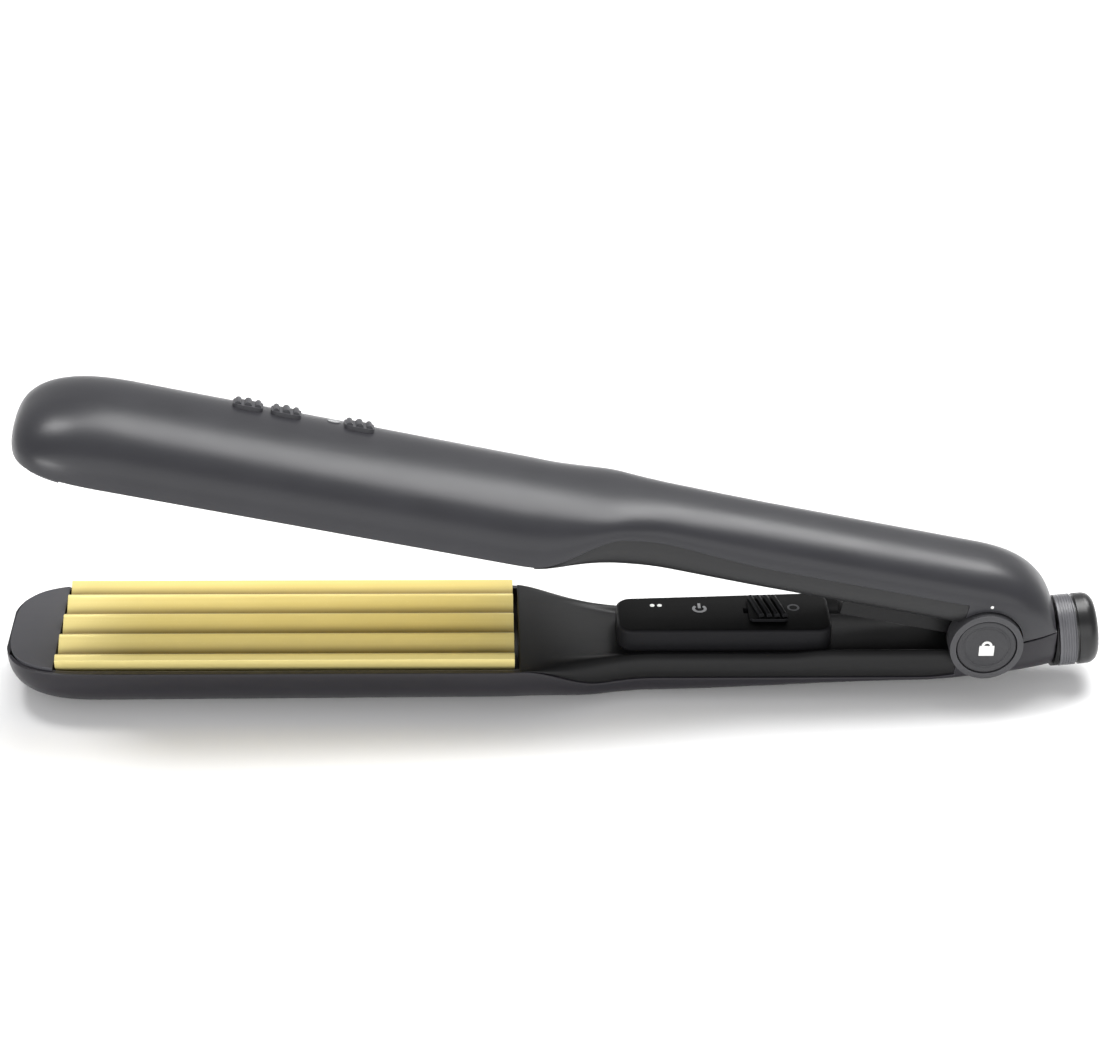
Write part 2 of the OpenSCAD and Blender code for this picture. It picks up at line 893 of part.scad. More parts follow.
module switch_body() {
    color("#17181a")
        lower_arm()
            difference() {
                translate([switch_x - switch_travel - 3, control_y - 2.6, -7.78])
                    cube([switch_travel + 7, 5.2, 6.2]);
                translate([switch_x - switch_travel - 2.3, control_y - 1.2, -5])
                    cube([switch_travel + 4.4, 2.4, 5]);
            }
}

module status_lights() {
    color("#f4f7ee")
        lower_arm()
            for (x = light_x) {
                translate([x, light_y, -2])
                    cylinder(r = light_r, h = panel_top + 2);
                translate([x, light_y, panel_top])
                    intersection() {
                        translate([0, 0, -0.6])
                            sphere(r = light_r + 0.3, $fn = 32);
                        cylinder(r = light_r, h = 1);
                    }
            }
}

module thermal_fuse() {
    color("#c9b18a")
        lower_arm() {
            bar_x(-33, -22, 5, -9.4, 1.5);
            bar_x(-36, -19, 5, -9.4, 0.35);
        }
}

// ---- upper arm -----------------------------------------------------------------------

// A ribbed pad on the crown, drawn with its foot through the shell
module on_crown(x) {
    translate([x, pad_y, -crown_at(x, pad_y)])
        rotate([pad_tilt, 0, 0])
            children();
}

// Depth of the outer face at a distance y from the middle
function crown_at(x, y) = seam(x, true)
    + (crown(x, true) - seam(x, true)) * bow(abs(y) / half_width(x), head_power);

pad_len = 7.6;
pad_half = 4.4;
module grip_pad(i) {
    color("#3c3c40")
        upper_arm()
            on_crown(pad_x[i]) {
                translate([-pad_len / 2, 0, -0.5])
                    rounded_bar(pad_len, pad_half, 3, 1.9);
                for (k = [-1, 0, 1])
                    translate([k * 2.5, -pad_half + 0.9, -0.4])
                        rotate([-90, 0, 0])
                            cylinder(r = k == 0 ? 0.95 : 0.8, h = 2 * pad_half - 1.8, $fn = 32);
            }
}

module upper_shell() {
    color("#57565b")
        upper_arm()
            difference() {
                bowl_loft(true);
                ring_cut(arm_gap);
                for (x = pad_x)
                    on_crown(x)
                        translate([-pad_len / 2 - 0.1, 0, -4])
                            rounded_bar(pad_len + 0.2, pad_half + 0.1, 10, 2);
                on_crown(lens_x)
                    translate([0, 0, -4])
                        cylinder(r = 1.6, h = 10);
            }
}

module upper_handle_cover() {
    color("#3e3e41")
        upper_arm()
            difference() {
                lid_loft(true);
                ring_cut(arm_gap);
                cover_screws(0.2);
            }
}

module upper_tip_pad() {
    color("#58585d")
        upper_arm()
            tip_pad();
}

module upper_crimp_plate() {
    color("#cdb765")
        upper_jaw()
            crimp_plate(-plate_mean - plate_gap, -1);
}

module upper_jaw_tray() {
    color("#1c1c1e")
        upper_jaw()
            jaw_tray();
}

module upper_heater() {
    color("#d9d5cc")
        upper_jaw()
            heater();
}

module upper_heater_clips() {
    color("#b9bcc0")
        upper_jaw()
            heater_clips();
}

module upper_thermistor() {
    color("#a8502e")
        upper_jaw()
            thermistor();
}

module upper_leads() {
    color("#ededed")
        upper_arm()
            leads(-14, -13.4);
}

module upper_screws() {
    color("#2c2d30")
        upper_arm()
            cover_screws(0);
}

module hinge_tongue() {
    color("#2a2b2e")
        upper_arm()
            difference() {
                union() {
                    disc_y(-tongue_w, tongue_w, tongue_r);
                    translate([-6.5, -tongue_w, -13.6])
                        cube([12, 2 * tongue_w, 13.6]);
                }
                disc_y(-spring_bay, spring_bay, tongue_r + 0.5);
                translate([-8, -spring_bay, -8])
                    cube([15, 2 * spring_bay, 8]);
                disc_y(-20, 20, tube_r + 0.05);
            }
}

// Web that stands between the handles in front of the hinge
web_start = -37.6;
web_end = -8.5;
web_w = 8.2;
web_rise = 1.6;
module hinge_web() {
    color("#1d1e20")
        upper_arm()
            difference() {
                translate([web_start, -web_w, -upper_cover_depth + 0.05])
                    cube([web_end - web_start, 2 * web_w, upper_cover_depth - 0.05 + web_rise]);
                for (x = upper_screw_x)
                    translate([x, 0, -6])
                        cylinder(r = screw_head_r + 0.5, h = 12);
            }
}

module heel_stop_plate() {
    color("#232426")
        upper_arm()
            stop_plate(true, 10.6, heel_end - 1.4, 1.2, -1);
}

module grip_pad_front() {
    grip_pad(0);
}

module grip_pad_middle() {
    grip_pad(1);
}

module grip_pad_rear() {
    grip_pad(2);
}

module indicator_lens() {
    color("#b9bcc2")
        upper_arm()
            on_crown(lens_x)
                translate([0, 0, -0.15])
                    cylinder(r = 1.5, h = 2.6);
}

// ---- lock, slides along the hinge axis -----------------------------------------------

module lock_button() {
    color("#2e2f33")
        lower_arm()
            disc_y(-ring_face + 0.1, -ring_face + 0.1 + button_t, button_r);
}

module lock_pin() {
    color("#b5b8bc")
        lower_arm()
            disc_y(-ring_face + 0.1 + button_t, recess_floor + 0.2, pin_r);
}

module lock_rear_cap() {
    color("#2e2f33")
        lower_arm()
            disc_y(recess_floor + 0.2, recess_floor + 0.2 + button_t, button_r);
}

// A plain padlock sign, standing a hair proud of the button
sign_t = 0.25;
module lock_symbol() {
    color("#f2f2f2")
        lower_arm()
            translate([0, -ring_face + 0.1, 0])
                rotate([90, 0, 0]) {
                    translate([-1.9, -2.3, 0])
                        cube([3.8, 2.9, sign_t]);
                    translate([0, 0.6, 0])
                        difference() {
                            cylinder(r = 1.35, h = sign_t);
                            translate([0, 0, -1])
                                cylinder(r = 0.75, h = 2);
                            translate([-2, -2, -1])
                                cube([4, 2, 2]);
                        }
                }
}

// ---- slide switch --------------------------------------------------------------------

module switch_slider() {
    color("#2b2c30")
        lower_arm()
            translate([switch_x, control_y, 0]) {
                translate([-knob_len / 2, 0, panel_top + 0.15])
                    rounded_bar(knob_len, knob_w, 0.8, 1.2);
                for (k = [-1.5, -0.5, 0.5, 1.5])
                    translate([k * 2, 0, panel_top + 1.3])
                        rotate([-90, 0, knob_slant])
                            cylinder(r = 0.7, h = 2 * knob_w - 1.8, center = true, $fn = 32);
                translate([-1, -1, -4])
                    cube([2, 2, panel_top + 4.4]);
            }
}

// ---- cord swivel, turning side -------------------------------------------------------

// Collar: a turned ring with a rounded end, one groove and a web that carries the core
web_t = 1.6;
wire_hole = 1.7;
collar_groove = 4.6;
module swivel_collar() {
    color("#4a4b50")
        cord_line()
            rotate([0, 90, 0])
                rotate_extrude($fn = 96)
                    difference() {
                        union() {
                            translate([wire_hole, 0])
                                square([collar_r - wire_hole, collar_len - collar_round]);
                            translate([wire_hole, 0])
                                square([collar_r - wire_hole - collar_round, collar_len]);
                            translate([collar_r - collar_round, collar_len - collar_round])
                                circle(r = collar_round);
                        }
                        translate([wire_hole - 1, web_t])
                            square([cord_r - wire_hole + 1, collar_len]);
                        translate([collar_r + 0.2, collar_groove])
                            circle(r = 0.7, $fn = 32);
                    }
}

module swivel_core() {
    color("#d9dadc")
        cord_line()
            union() {
                ring_x(socket_in - 0.3, 0, core_r, wire_hole);
                ring_x(socket_in - 1.4, socket_in - 0.2, 3.8, wire_hole);
                ring_x(-11.5, socket_in - 1.3, 2.2, wire_hole);
            }
}

module contact_rings() {
    color("#c9a24d")
        cord_line()
            for (x = [-9.4, -10.9])
                ring_x(x, x + 0.6, 2.9, 2.2);
}

lower_shell();
lower_handle_cover();
lower_tip_pad();
lower_crimp_plate();
lower_jaw_tray();
lower_heater();
lower_heater_clips();
lower_thermistor();
lower_leads();
lower_screws();
screw_sleeves();
hinge_yoke();
axle_tube();
hinge_washers();
hinge_spring();
tail_stop_plate();
swivel_socket();
contact_brushes();
control_panel();
control_board();
switch_body();
status_lights();
thermal_fuse();
upper_shell();
upper_handle_cover();
upper_tip_pad();
upper_crimp_plate();
upper_jaw_tray();
upper_heater();
upper_heater_clips();
upper_thermistor();
upper_leads();
upper_screws();
hinge_tongue();
hinge_web();
heel_stop_plate();
grip_pad_front();
grip_pad_middle();
grip_pad_rear();
indicator_lens();
lock_button();
lock_pin();
lock_rear_cap();
lock_symbol();
switch_slider();
swivel_collar();
swivel_core();
contact_rings();
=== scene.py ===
# %% [markdown]
# # Dressing a hair crimper
# The construction model already gives every solid its place. This lesson loads it, rebuilds the
# large moulded skins with finer meshes, rounds small edges with modifiers, and gives each
# material its own small network of shader nodes.

# %% Load the construction model
import json
import math

import bmesh
import bpy
from mathutils import Matrix, Vector


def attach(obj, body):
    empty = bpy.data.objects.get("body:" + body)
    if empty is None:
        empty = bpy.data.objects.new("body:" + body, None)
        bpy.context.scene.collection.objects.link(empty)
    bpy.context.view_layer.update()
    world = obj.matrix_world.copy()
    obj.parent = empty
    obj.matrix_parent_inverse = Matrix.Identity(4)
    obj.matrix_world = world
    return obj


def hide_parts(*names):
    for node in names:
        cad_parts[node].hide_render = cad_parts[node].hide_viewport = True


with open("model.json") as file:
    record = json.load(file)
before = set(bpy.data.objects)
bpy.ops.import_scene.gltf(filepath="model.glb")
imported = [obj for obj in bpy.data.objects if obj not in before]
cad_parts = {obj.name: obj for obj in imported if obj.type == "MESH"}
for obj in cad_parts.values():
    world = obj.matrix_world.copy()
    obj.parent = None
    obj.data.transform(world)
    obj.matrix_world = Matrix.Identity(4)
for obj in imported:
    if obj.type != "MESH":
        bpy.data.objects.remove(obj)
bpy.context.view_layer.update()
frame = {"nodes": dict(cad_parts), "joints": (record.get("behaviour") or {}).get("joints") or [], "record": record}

nodes = frame["nodes"]

# %% [markdown]
# ## Two frames to draw in
# The two arms share most of their outline, one mirrored. It is easiest to draw an arm lying
# flat, in millimetres from the hinge axis with the tip towards -X, and to let a matrix carry the
# drawing to its place. The upper arm's matrix mirrors it and swings it open. The upper plate is
# turned by a little more, so that the two plates lie parallel when the arms close.

# %% Places of the arms
MM = 0.001
joints = {joint["name"]: joint for joint in frame["joints"]}
hinge = Vector(joints["arm_hinge"]["pos_m"])
OPEN_ANGLE = 12
PINCH_ANGLE = 0.85

LOWER = Matrix.Translation(hinge) @ Matrix.Scale(MM, 4)
UPPER = (Matrix.Translation(hinge) @ Matrix.Rotation(math.radians(OPEN_ANGLE), 4, "Y")
         @ Matrix.Scale(MM, 4) @ Matrix.Scale(-1, 4, (0, 0, 1)))
UPPER_JAW = UPPER @ Matrix.Rotation(math.radians(-PINCH_ANGLE), 4, "Y")
print("hinge axis at", [round(c, 4) for c in hinge])

# %% [markdown]
# ## The camera and the light
# A product picture of a long thin object is taken with a long lens from above the near side.
# The lens is set from its focal length in pixels, so the perspective is the real one.
#
# Dark satin plastic shows its form by the soft bands that lamps leave on it, so each lamp has a
# task. One hangs over the jaws and one over the handles, each where its reflection falls along
# the middle of the upper arm. A small one lifts the tip. A wide one stands in front, because
# the upper arm keeps the overhead light off the gold plate, and a low one reaches in between
# the arms. A pale sky fills what is left.

# %% Camera
IMAGE_WIDTH = 1100
FOCAL_PIXELS = 2800
ELEVATION, TURN, ROLL = math.radians(30.56), math.radians(1.99), math.radians(0.90)
EYE = (-0.023314, -0.60688, 0.40207)

forward = Vector((math.sin(TURN) * math.cos(ELEVATION), math.cos(TURN) * math.cos(ELEVATION),
                  -math.sin(ELEVATION)))
level = Vector((math.cos(TURN), -math.sin(TURN), 0))
upright = level.cross(forward)
right = math.cos(ROLL) * level + math.sin(ROLL) * upright
up = -math.sin(ROLL) * level + math.cos(ROLL) * upright

camera = bpy.data.objects.new("camera", bpy.data.cameras.new("camera"))
camera.data.sensor_width = 36
camera.data.lens = FOCAL_PIXELS / IMAGE_WIDTH * 36
camera.data.clip_start, camera.data.clip_end = 0.01, 50
facing = Matrix((right, up, -forward)).transposed().to_4x4()
camera.matrix_world = Matrix.Translation(EYE) @ facing
bpy.context.scene.collection.objects.link(camera)
bpy.context.scene.camera = camera
bpy.context.scene.view_settings.view_transform = "Standard"
print("lens", round(camera.data.lens, 1), "mm")

# %% [markdown]
# ## Building shader networks as sentences
# A network reads best as arithmetic. `Wire` holds one output socket and adds a Math node for
# each operator, and `add` makes any other node from its settings and its socket values.

# %% Wires and nodes
class Wire:
    """One output socket, so that shader maths can be written as ordinary sums."""

    def __init__(self, socket):
        self.socket = socket

    def maths(self, operation, *terms):
        return add(self.socket.id_data, "Math", {"operation": operation}, dict(enumerate(terms)))

    def __add__(self, other):
        return self.maths("ADD", self, other)

    __radd__ = __add__

    def __sub__(self, other):
        return self.maths("SUBTRACT", self, other)

    def __rsub__(self, other):
        return self.maths("SUBTRACT", other, self)

    def __mul__(self, other):
        return self.maths("MULTIPLY", self, other)

    __rmul__ = __mul__

    def __gt__(self, other):
        return self.maths("GREATER_THAN", self, other)

    def __lt__(self, other):
        return self.maths("LESS_THAN", self, other)


def add(tree, kind, settings=None, values=None, output=0):
    """A node of the given kind: settings first, then socket values or wires."""
    node = tree.nodes.new("ShaderNode" + kind)
    for name, value in (settings or {}).items():
        if name == "stops":
            while len(node.color_ramp.elements) < len(value):
                node.color_ramp.elements.new(0.5)
            for element, (position, tint) in zip(node.color_ramp.elements, value):
                element.position = position
                element.color = tint
        else:
            setattr(node, name, value)
    for key, value in (values or {}).items():
        if isinstance(value, Wire):
            tree.links.new(value.socket, node.inputs[key])
        else:
            node.inputs[key].default_value = value
    return Wire(node.outputs[output]) if node.outputs else node


def blend_colour(tree, mask, under, over):
    """Colour `under` where mask is 0 and `over` where it is 1."""
    return add(tree, "Mix", {"data_type": "RGBA"}, {0: mask, 6: under, 7: over}, 2)


def colour(code):
    """A web colour as linear values."""
    parts = [int(code[i:i + 2], 16) / 255 for i in (1, 3, 5)]
    return [c / 12.92 if c < 0.04045 else ((c + 0.055) / 1.055) ** 2.4 for c in parts] + [1]


# %% Sky, lamps and floor
world = bpy.data.worlds.new("soft_sky")
world.use_nodes = True
sky = world.node_tree
sky.nodes.clear()
direction = add(sky, "TexCoord", output="Generated")
height = add(sky, "SeparateXYZ", None, {0: direction}, 2)
shade = add(sky, "ValToRGB", {"stops": [(0.0, (0.75, 0.75, 0.75, 1)), (0.25, (0.6, 0.6, 0.6, 1)),
                                        (0.55, (0.36, 0.36, 0.37, 1)), (1.0, (0.5, 0.5, 0.5, 1))]},
            {0: height})
add(sky, "OutputWorld", None, {0: add(sky, "Background", None, {0: shade, 1: 1.0})})
bpy.context.scene.world = world


def soft_lamp(name, place, target, width, depth, power):
    """A rectangular lamp, in metres and watts, that the camera doesn't see."""
    lamp = bpy.data.objects.new(name, bpy.data.lights.new(name, "AREA"))
    lamp.data.shape = "RECTANGLE"
    lamp.data.size, lamp.data.size_y = width, depth
    lamp.data.energy = power
    aim = Vector(target) - Vector(place)
    lamp.rotation_mode = "QUATERNION"
    lamp.rotation_quaternion = aim.to_track_quat("-Z", "Y")
    lamp.location = place
    lamp.visible_camera = False
    bpy.context.scene.collection.objects.link(lamp)


soft_lamp("lamp_over_jaws", (0.15, 0.29, 1.0), (-0.05, 0, 0.03), 0.64, 0.44, 7)
soft_lamp("lamp_over_handles", (0.48, 0.58, 0.85), (0.07, 0, 0.03), 0.5, 0.38, 5.6)
soft_lamp("lamp_front", (0.1, -1.1, 0.45), (0, 0, 0.02), 2.0, 0.8, 6.5)
soft_lamp("lamp_tip_end", (-0.40, 0.22, 0.95), (-0.1, 0, 0.03), 0.25, 0.3, 3.6)
soft_lamp("lamp_low_left", (-0.46, -0.50, 0.13), (-0.03, 0, 0.012), 0.3, 0.16, 1.2)

floor_mesh = bpy.data.meshes.new("floor")
floor_mesh.from_pydata([(-9, -9, 0), (9, -9, 0), (9, 9, 0), (-9, 9, 0)], [], [(0, 1, 2, 3)])
floor = bpy.data.objects.new("floor", floor_mesh)
bpy.context.scene.collection.objects.link(floor)
print("one sky, five lamps and a floor")

# %% [markdown]
# ## Finishes
# Moulded plastic is never quite even: the tool leaves a fine grain, the colour wanders a little,
# and the gloss changes where it is handled. Each finish mixes these at their real scale, taken
# from the object's own coordinates in metres, so nothing slides when the arms move.

# %% A base for every finish
def finish(name, build, **constants):
    """A material whose surface values come from `build(tree, place)` and from constants."""
    material = bpy.data.materials.new(name)
    material.use_nodes = True
    tree = material.node_tree
    tree.nodes.clear()
    place = add(tree, "TexCoord", output="Object")
    values = dict(build(tree, place))
    values.update({key.replace("_", " "): value for key, value in constants.items()})
    surface = add(tree, "BsdfPrincipled", None, values)
    add(tree, "OutputMaterial", None, {0: surface})
    return material


def grain(tree, place, size_mm, detail=2):
    """Fine even noise, from 0 to 1, whose specks are about size_mm across."""
    return add(tree, "TexNoise", None, {"Vector": place, "Scale": 1 / (size_mm * MM), "Detail": detail})


def stretched(tree, place, along, across):
    """Noise drawn out along the arm, as a brush or a wiping cloth leaves it."""
    long = add(tree, "VectorMath", {"operation": "MULTIPLY"},
               {0: place, 1: (1 / (along * MM), 1 / (across * MM), 1 / (across * MM))})
    return add(tree, "TexNoise", None, {"Vector": long, "Scale": 1.0, "Detail": 3})


def bumped(tree, height, depth_mm):
    """A normal that follows a height from 0 to 1, depth_mm deep."""
    return add(tree, "Bump", None, {"Height": height, "Strength": 1.0, "Distance": depth_mm * MM})


def edges(tree, width_mm):
    """1 along an edge and 0 on open surfaces, because a rounded normal leans away at an edge."""
    soft = add(tree, "Bevel", {"samples": 4}, {"Radius": width_mm * MM})
    true = add(tree, "NewGeometry", output="Normal")
    lean = 1 - add(tree, "VectorMath", {"operation": "DOT_PRODUCT"}, {0: soft, 1: true}, "Value")
    return add(tree, "MapRange", {"clamp": True}, {"Value": lean, "From Min": 0.03, "From Max": 0.3})


def moulded(base, shade, speck_mm, depth_mm, gloss, spread, edge_wear_and_highlight=None):
    """Moulded plastic: two close colours, a fine grain, a gloss that wanders, and edges painted
    lighter, partly rubbed wear and partly a painted highlight along the rims.
    """
    def build(tree, place):
        cloud = grain(tree, place, 14, 3)
        speck = grain(tree, place, speck_mm)
        tone = blend_colour(tree, cloud * 0.7 + speck * 0.3, colour(base), colour(shade))
        rub = stretched(tree, place, 30, 2.5)
        gleam = gloss + spread * (rub - 0.5) + spread * (cloud - 0.5)
        if edge_wear_and_highlight:
            # Edges painted lighter: partly rubbed wear, partly a painted highlight along the rolled rims.
            edge_wear_and_highlight_mask = edges(tree, 0.35) * (0.35 + 0.65 * grain(tree, place, 2.2))
            tone = blend_colour(tree, edge_wear_and_highlight_mask, tone, colour(edge_wear_and_highlight))
            gleam = gleam - 0.08 * edge_wear_and_highlight_mask
        return {"Base Color": tone, "Roughness": gleam,
                "Normal": bumped(tree, speck + 0.35 * cloud, depth_mm)}
    return build


# %% [markdown]
# ## The finishes of this crimper
# The upper skin is a soft-touch charcoal and its cover a satin one. The lower skin is darker,
# the lower cover and the panel are nearly black, and the plates carry a gold ceramic coat.

# %% Plastics, coat and metals
PITCH, EDGE_CREST = 9.4, -17.45


def gold_coat(tree, place):
    """Ceramic coat: gold, faintly streaked along the plate, with painted shade in the valleys and
    a painted highlight along the crests and ends.
    """
    streak = stretched(tree, place, 60, 0.5)
    speck = grain(tree, place, 0.35)
    cloud = grain(tree, place, 22)
    across = add(tree, "SeparateXYZ", None, {0: place}, 1)
    phase = (across * (1 / MM) - EDGE_CREST) * (2 * math.pi / PITCH)
    depth = 0.5 - 0.5 * phase.maths("COSINE", phase)
    painted_valley_shade = depth.maths("POWER", depth, 5)
    tone = blend_colour(tree, streak * 0.6 + cloud * 0.4, colour("#d9c87c"), colour("#e6d692"))
    tone = blend_colour(tree, (speck > 0.66) * 0.3, tone, colour("#e9dca0"))
    # Painted shade: the valleys are darkened towards a deep brown gold.
    tone = blend_colour(tree, painted_valley_shade * 0.9, tone, colour("#6f5b22"))
    # Painted highlight: the crests and the plate's ends are painted paler gold.
    tone = blend_colour(tree, edges(tree, 0.3) * 0.5, tone, colour("#f3e9c0"))
    return {"Base Color": tone, "Roughness": 0.42 + 0.16 * (streak - 0.5) + 0.15 * painted_valley_shade,
            "Normal": bumped(tree, streak * 0.5 + speck * 0.5, 0.012)}


def plain_metal(base, shade, gloss):
    """Bare metal: two close colours and fine scratches along the arm."""
    def build(tree, place):
        cloud = grain(tree, place, 3, 3)
        scratch = stretched(tree, place, 8, 0.15)
        return {"Base Color": blend_colour(tree, cloud, colour(base), colour(shade)),
                "Roughness": gloss + 0.15 * (scratch - 0.5), "Normal": bumped(tree, scratch, 0.004)}
    return build


AXIS_START = Vector(joints["cord_swivel_turn"]["pos_m"])
AXIS_WAY = Vector(joints["cord_swivel_turn"]["axis"]).normalized()
GROOVE_MIDDLE = 4.6


def panel_skin(tree, place):
    """The panel's and its switch's moulding. Faces that look straight up get painted shade, so
    the top renders darker than the sides."""
    surface = moulded("#19191b", "#222224", 0.35, 0.020, 0.46, 0.12, "#38383a")(tree, place)
    facing = add(tree, "NewGeometry", output="Normal")
    level = add(tree, "SeparateXYZ", None, {0: facing}, 2)
    # Painted shade: faces that look straight up are darkened to near black.
    painted_top_shade = add(tree, "MapRange", {"clamp": True}, {"Value": level, "From Min": 0.93, "From Max": 0.99})
    surface["Base Color"] = blend_colour(tree, painted_top_shade, surface["Base Color"], colour("#040404"))
    return surface


def collar_skin(tree, place):
    """The collar's ribbed half carries a painted sheen in pale grey, and its smooth end painted
    shade in near black.
    """
    along = add(tree, "VectorMath", {"operation": "DOT_PRODUCT"},
                {0: place, 1: tuple(AXIS_WAY)}, "Value")
    speck = grain(tree, place, 0.3)
    painted_rib_sheen = along - AXIS_START.dot(AXIS_WAY) < GROOVE_MIDDLE * MM
    # Painted sheen on the ribbed half and painted shade on the smooth end.
    tone = blend_colour(tree, painted_rib_sheen, colour("#0b0b0c"), colour("#646468"))
    tone = blend_colour(tree, speck * 0.3, tone, colour("#222325"))
    return {"Base Color": tone, "Roughness": 0.32 + 0.10 * (speck - 0.5),
            "Normal": bumped(tree, speck, 0.015)}


finishes = {
    "body_plastic": finish(
        "soft_touch_charcoal", moulded("#28282b", "#313135", 0.25, 0.010, 0.33, 0.08, "#4c4c50"),
        Specular_IOR_Level=0.38),
    "lower_body": finish(
        "soft_touch_dark", moulded("#19171c", "#211f25", 0.25, 0.010, 0.38, 0.10, "#56555b"),
        Specular_IOR_Level=0.4),
    "handle_plastic": finish(
        "satin_black", moulded("#0a0a0b", "#111112", 0.22, 0.010, 0.42, 0.12, "#2e2e30"),
        Specular_IOR_Level=0.28),
    "upper_cover": finish(
        "satin_charcoal", moulded("#1d1d1e", "#252526", 0.22, 0.010, 0.44, 0.10, "#3a3a3c"),
        Specular_IOR_Level=0.4),
    "trim_plastic": finish(
        "heat_proof_grey", moulded("#3c3c40", "#47474b", 0.30, 0.012, 0.50, 0.08, "#5c5c60"),
        Specular_IOR_Level=0.35),
    "ring_plastic": finish(
        "grained_grey_ring", moulded("#303032", "#434346", 0.30, 0.030, 0.42, 0.14, "#606064"),
        Specular_IOR_Level=0.5),
    "button_plastic": finish(
        "grained_grey_button", moulded("#262628", "#38383b", 0.45, 0.040, 0.45, 0.16, "#545458"),
        Specular_IOR_Level=0.45),
    "panel_plastic": finish("spark_textured_black", panel_skin, Specular_IOR_Level=0.1),
    "plate": finish("gold_ceramic_coat", gold_coat, Metallic=0.2),
    "lens": finish("smoked_lens", moulded("#6d6e70", "#88898b", 0.3, 0.004, 0.25, 0.08)),
    "dark_plastic": finish("matt_black_moulding", moulded("#0e0e0f", "#171718", 0.3, 0.015, 0.6, 0.1)),
    "ceramic": finish("fired_ceramic", moulded("#d6d2c8", "#e2ded4", 0.5, 0.010, 0.3, 0.1)),
    "steel": finish("plain_steel", plain_metal("#a9acb0", "#c2c5c8", 0.33), Metallic=1.0),
    "copper": finish("plain_brass", plain_metal("#b9863f", "#d1a25b", 0.35), Metallic=1.0),
    "wire": finish("silicone_sleeve", moulded("#cfcfcf", "#dedede", 0.4, 0.010, 0.5, 0.1)),
    "washer": finish("white_acetal", moulded("#cfcfc8", "#dcdcd6", 0.4, 0.008, 0.35, 0.1)),
    "board": finish("circuit_board", moulded("#1f5a38", "#2d7048", 0.6, 0.012, 0.35, 0.1)),
    "light": finish("frosted_lens", moulded("#e4e8e4", "#f2f5f0", 0.3, 0.005, 0.2, 0.08),
                    Emission_Color=(1, 1, 0.98, 1), Emission_Strength=0.25),
    "rubber": finish("ribbed_rubber", moulded("#2f2f33", "#3a3a3e", 0.2, 0.020, 0.6, 0.1)),
    "print": finish("white_print", moulded("#e2e2e0", "#f2f2f0", 0.15, 0.006, 0.5, 0.1)),
    "grey_print": finish("grey_print", moulded("#8a8b8d", "#a2a3a5", 0.15, 0.006, 0.5, 0.1)),
    "faint_print": finish("worn_print", moulded("#3c3d40", "#55565a", 0.12, 0.006, 0.5, 0.1)),
    "collar_plastic": finish("ribbed_collar", collar_skin, Specular_IOR_Level=0.5),
}


def floor_skin(tree, place):
    """A pale matt floor, a little uneven."""
    cloud = grain(tree, place, 90)
    return {"Base Color": blend_colour(tree, cloud, colour("#f7f7f7"), colour("#fafafa")),
            "Roughness": 0.9 + 0.05 * cloud}


floor.data.materials.append(finish("pale_floor", floor_skin, Specular_IOR_Level=0.0))
print(len(finishes), "finishes")

# %% [markdown]
# ## The arm's outlines
# The skins are lofts: a rounded section is drawn at many stations along the arm, and each
# section's size follows a smooth curve. A rounded box of power 2 is an ellipse, and a higher
# power fills its corners, which is how a moulded handle feels in the hand.

# %% Curves along the arm, in millimetres
HEAD_W, GRIP_W = 21.2, 13.1
TIP_LEN, HEAD_START = 26.4, -222.0
NECK_START, NECK_END = -123.0, -84.0
COVER_START, SEAM_END, COVER_END = -118.4, -97.0, -7.05
TAIL_START, TAIL_END = -16.0, 19.0
HEEL_START, HEEL_END = -5.0, 17.8
RIM_DEPTH, SEAM_DEPTH, TAIL_SEAM = 3.2, 10.2, 4.4
HEAD_DEPTH, GRIP_DEPTH, REST_DEPTH = 17.5, 18.6, 17.2
TIP_SWELL, RIM_LIP = 0.7, 0.2
TAIL_RISE, HEEL_RIM = 5.1, 3
STOP_ANGLE, TAIL_STOP, HEEL_STOP = 6, -1.2, -0.85
HEAD_WALL, GRIP_WALL = 1.2, 2.0
TIP_POWER, HEEL_POWER, SECTION_POWER = 3.3, 2.3, 2.27
UPPER_TIP_POWER, LOWER_TIP_POWER = 2.35, 2.8
TAPER_START, TAPER_LEN = 3, 21.5
PLATE_END, PLATE_LEN, PLATE_W = -119.6, 115.0, 18.9
PLATE_START = PLATE_END - PLATE_LEN


def ease(a, b, x):
    """A smooth step from 0 at a to 1 at b, whichever of the two is larger."""
    u = min(1, max(0, (x - a) / (b - a)))
    return u * u * (3 - 2 * u)


def bow(u, power):
    """A quarter of a rounded box: 1 at u = 0, falling to 0 at u = 1."""
    return max(0, 1 - min(1, abs(u)) ** power) ** (1 / power)


def spow(c, power):
    """A cosine or sine bent to draw a rounded box of the given power."""
    return math.copysign(abs(c) ** (2 / power), c)


def half_width(x):
    """Half the width of an arm: rounded tip, wide head, narrow grip, rounded end."""
    if x < HEAD_START:
        return HEAD_W * bow((HEAD_START - x) / TIP_LEN, TIP_POWER)
    taper = math.sqrt(1 - (max(0, x - TAPER_START) / TAPER_LEN) ** 2)
    return taper * (HEAD_W + (GRIP_W - HEAD_W) * ease(NECK_START, NECK_END, x))


def wall(x):
    """Thickness of a skin's wall."""
    return HEAD_WALL + (GRIP_WALL - HEAD_WALL) * ease(NECK_START, NECK_END, x)


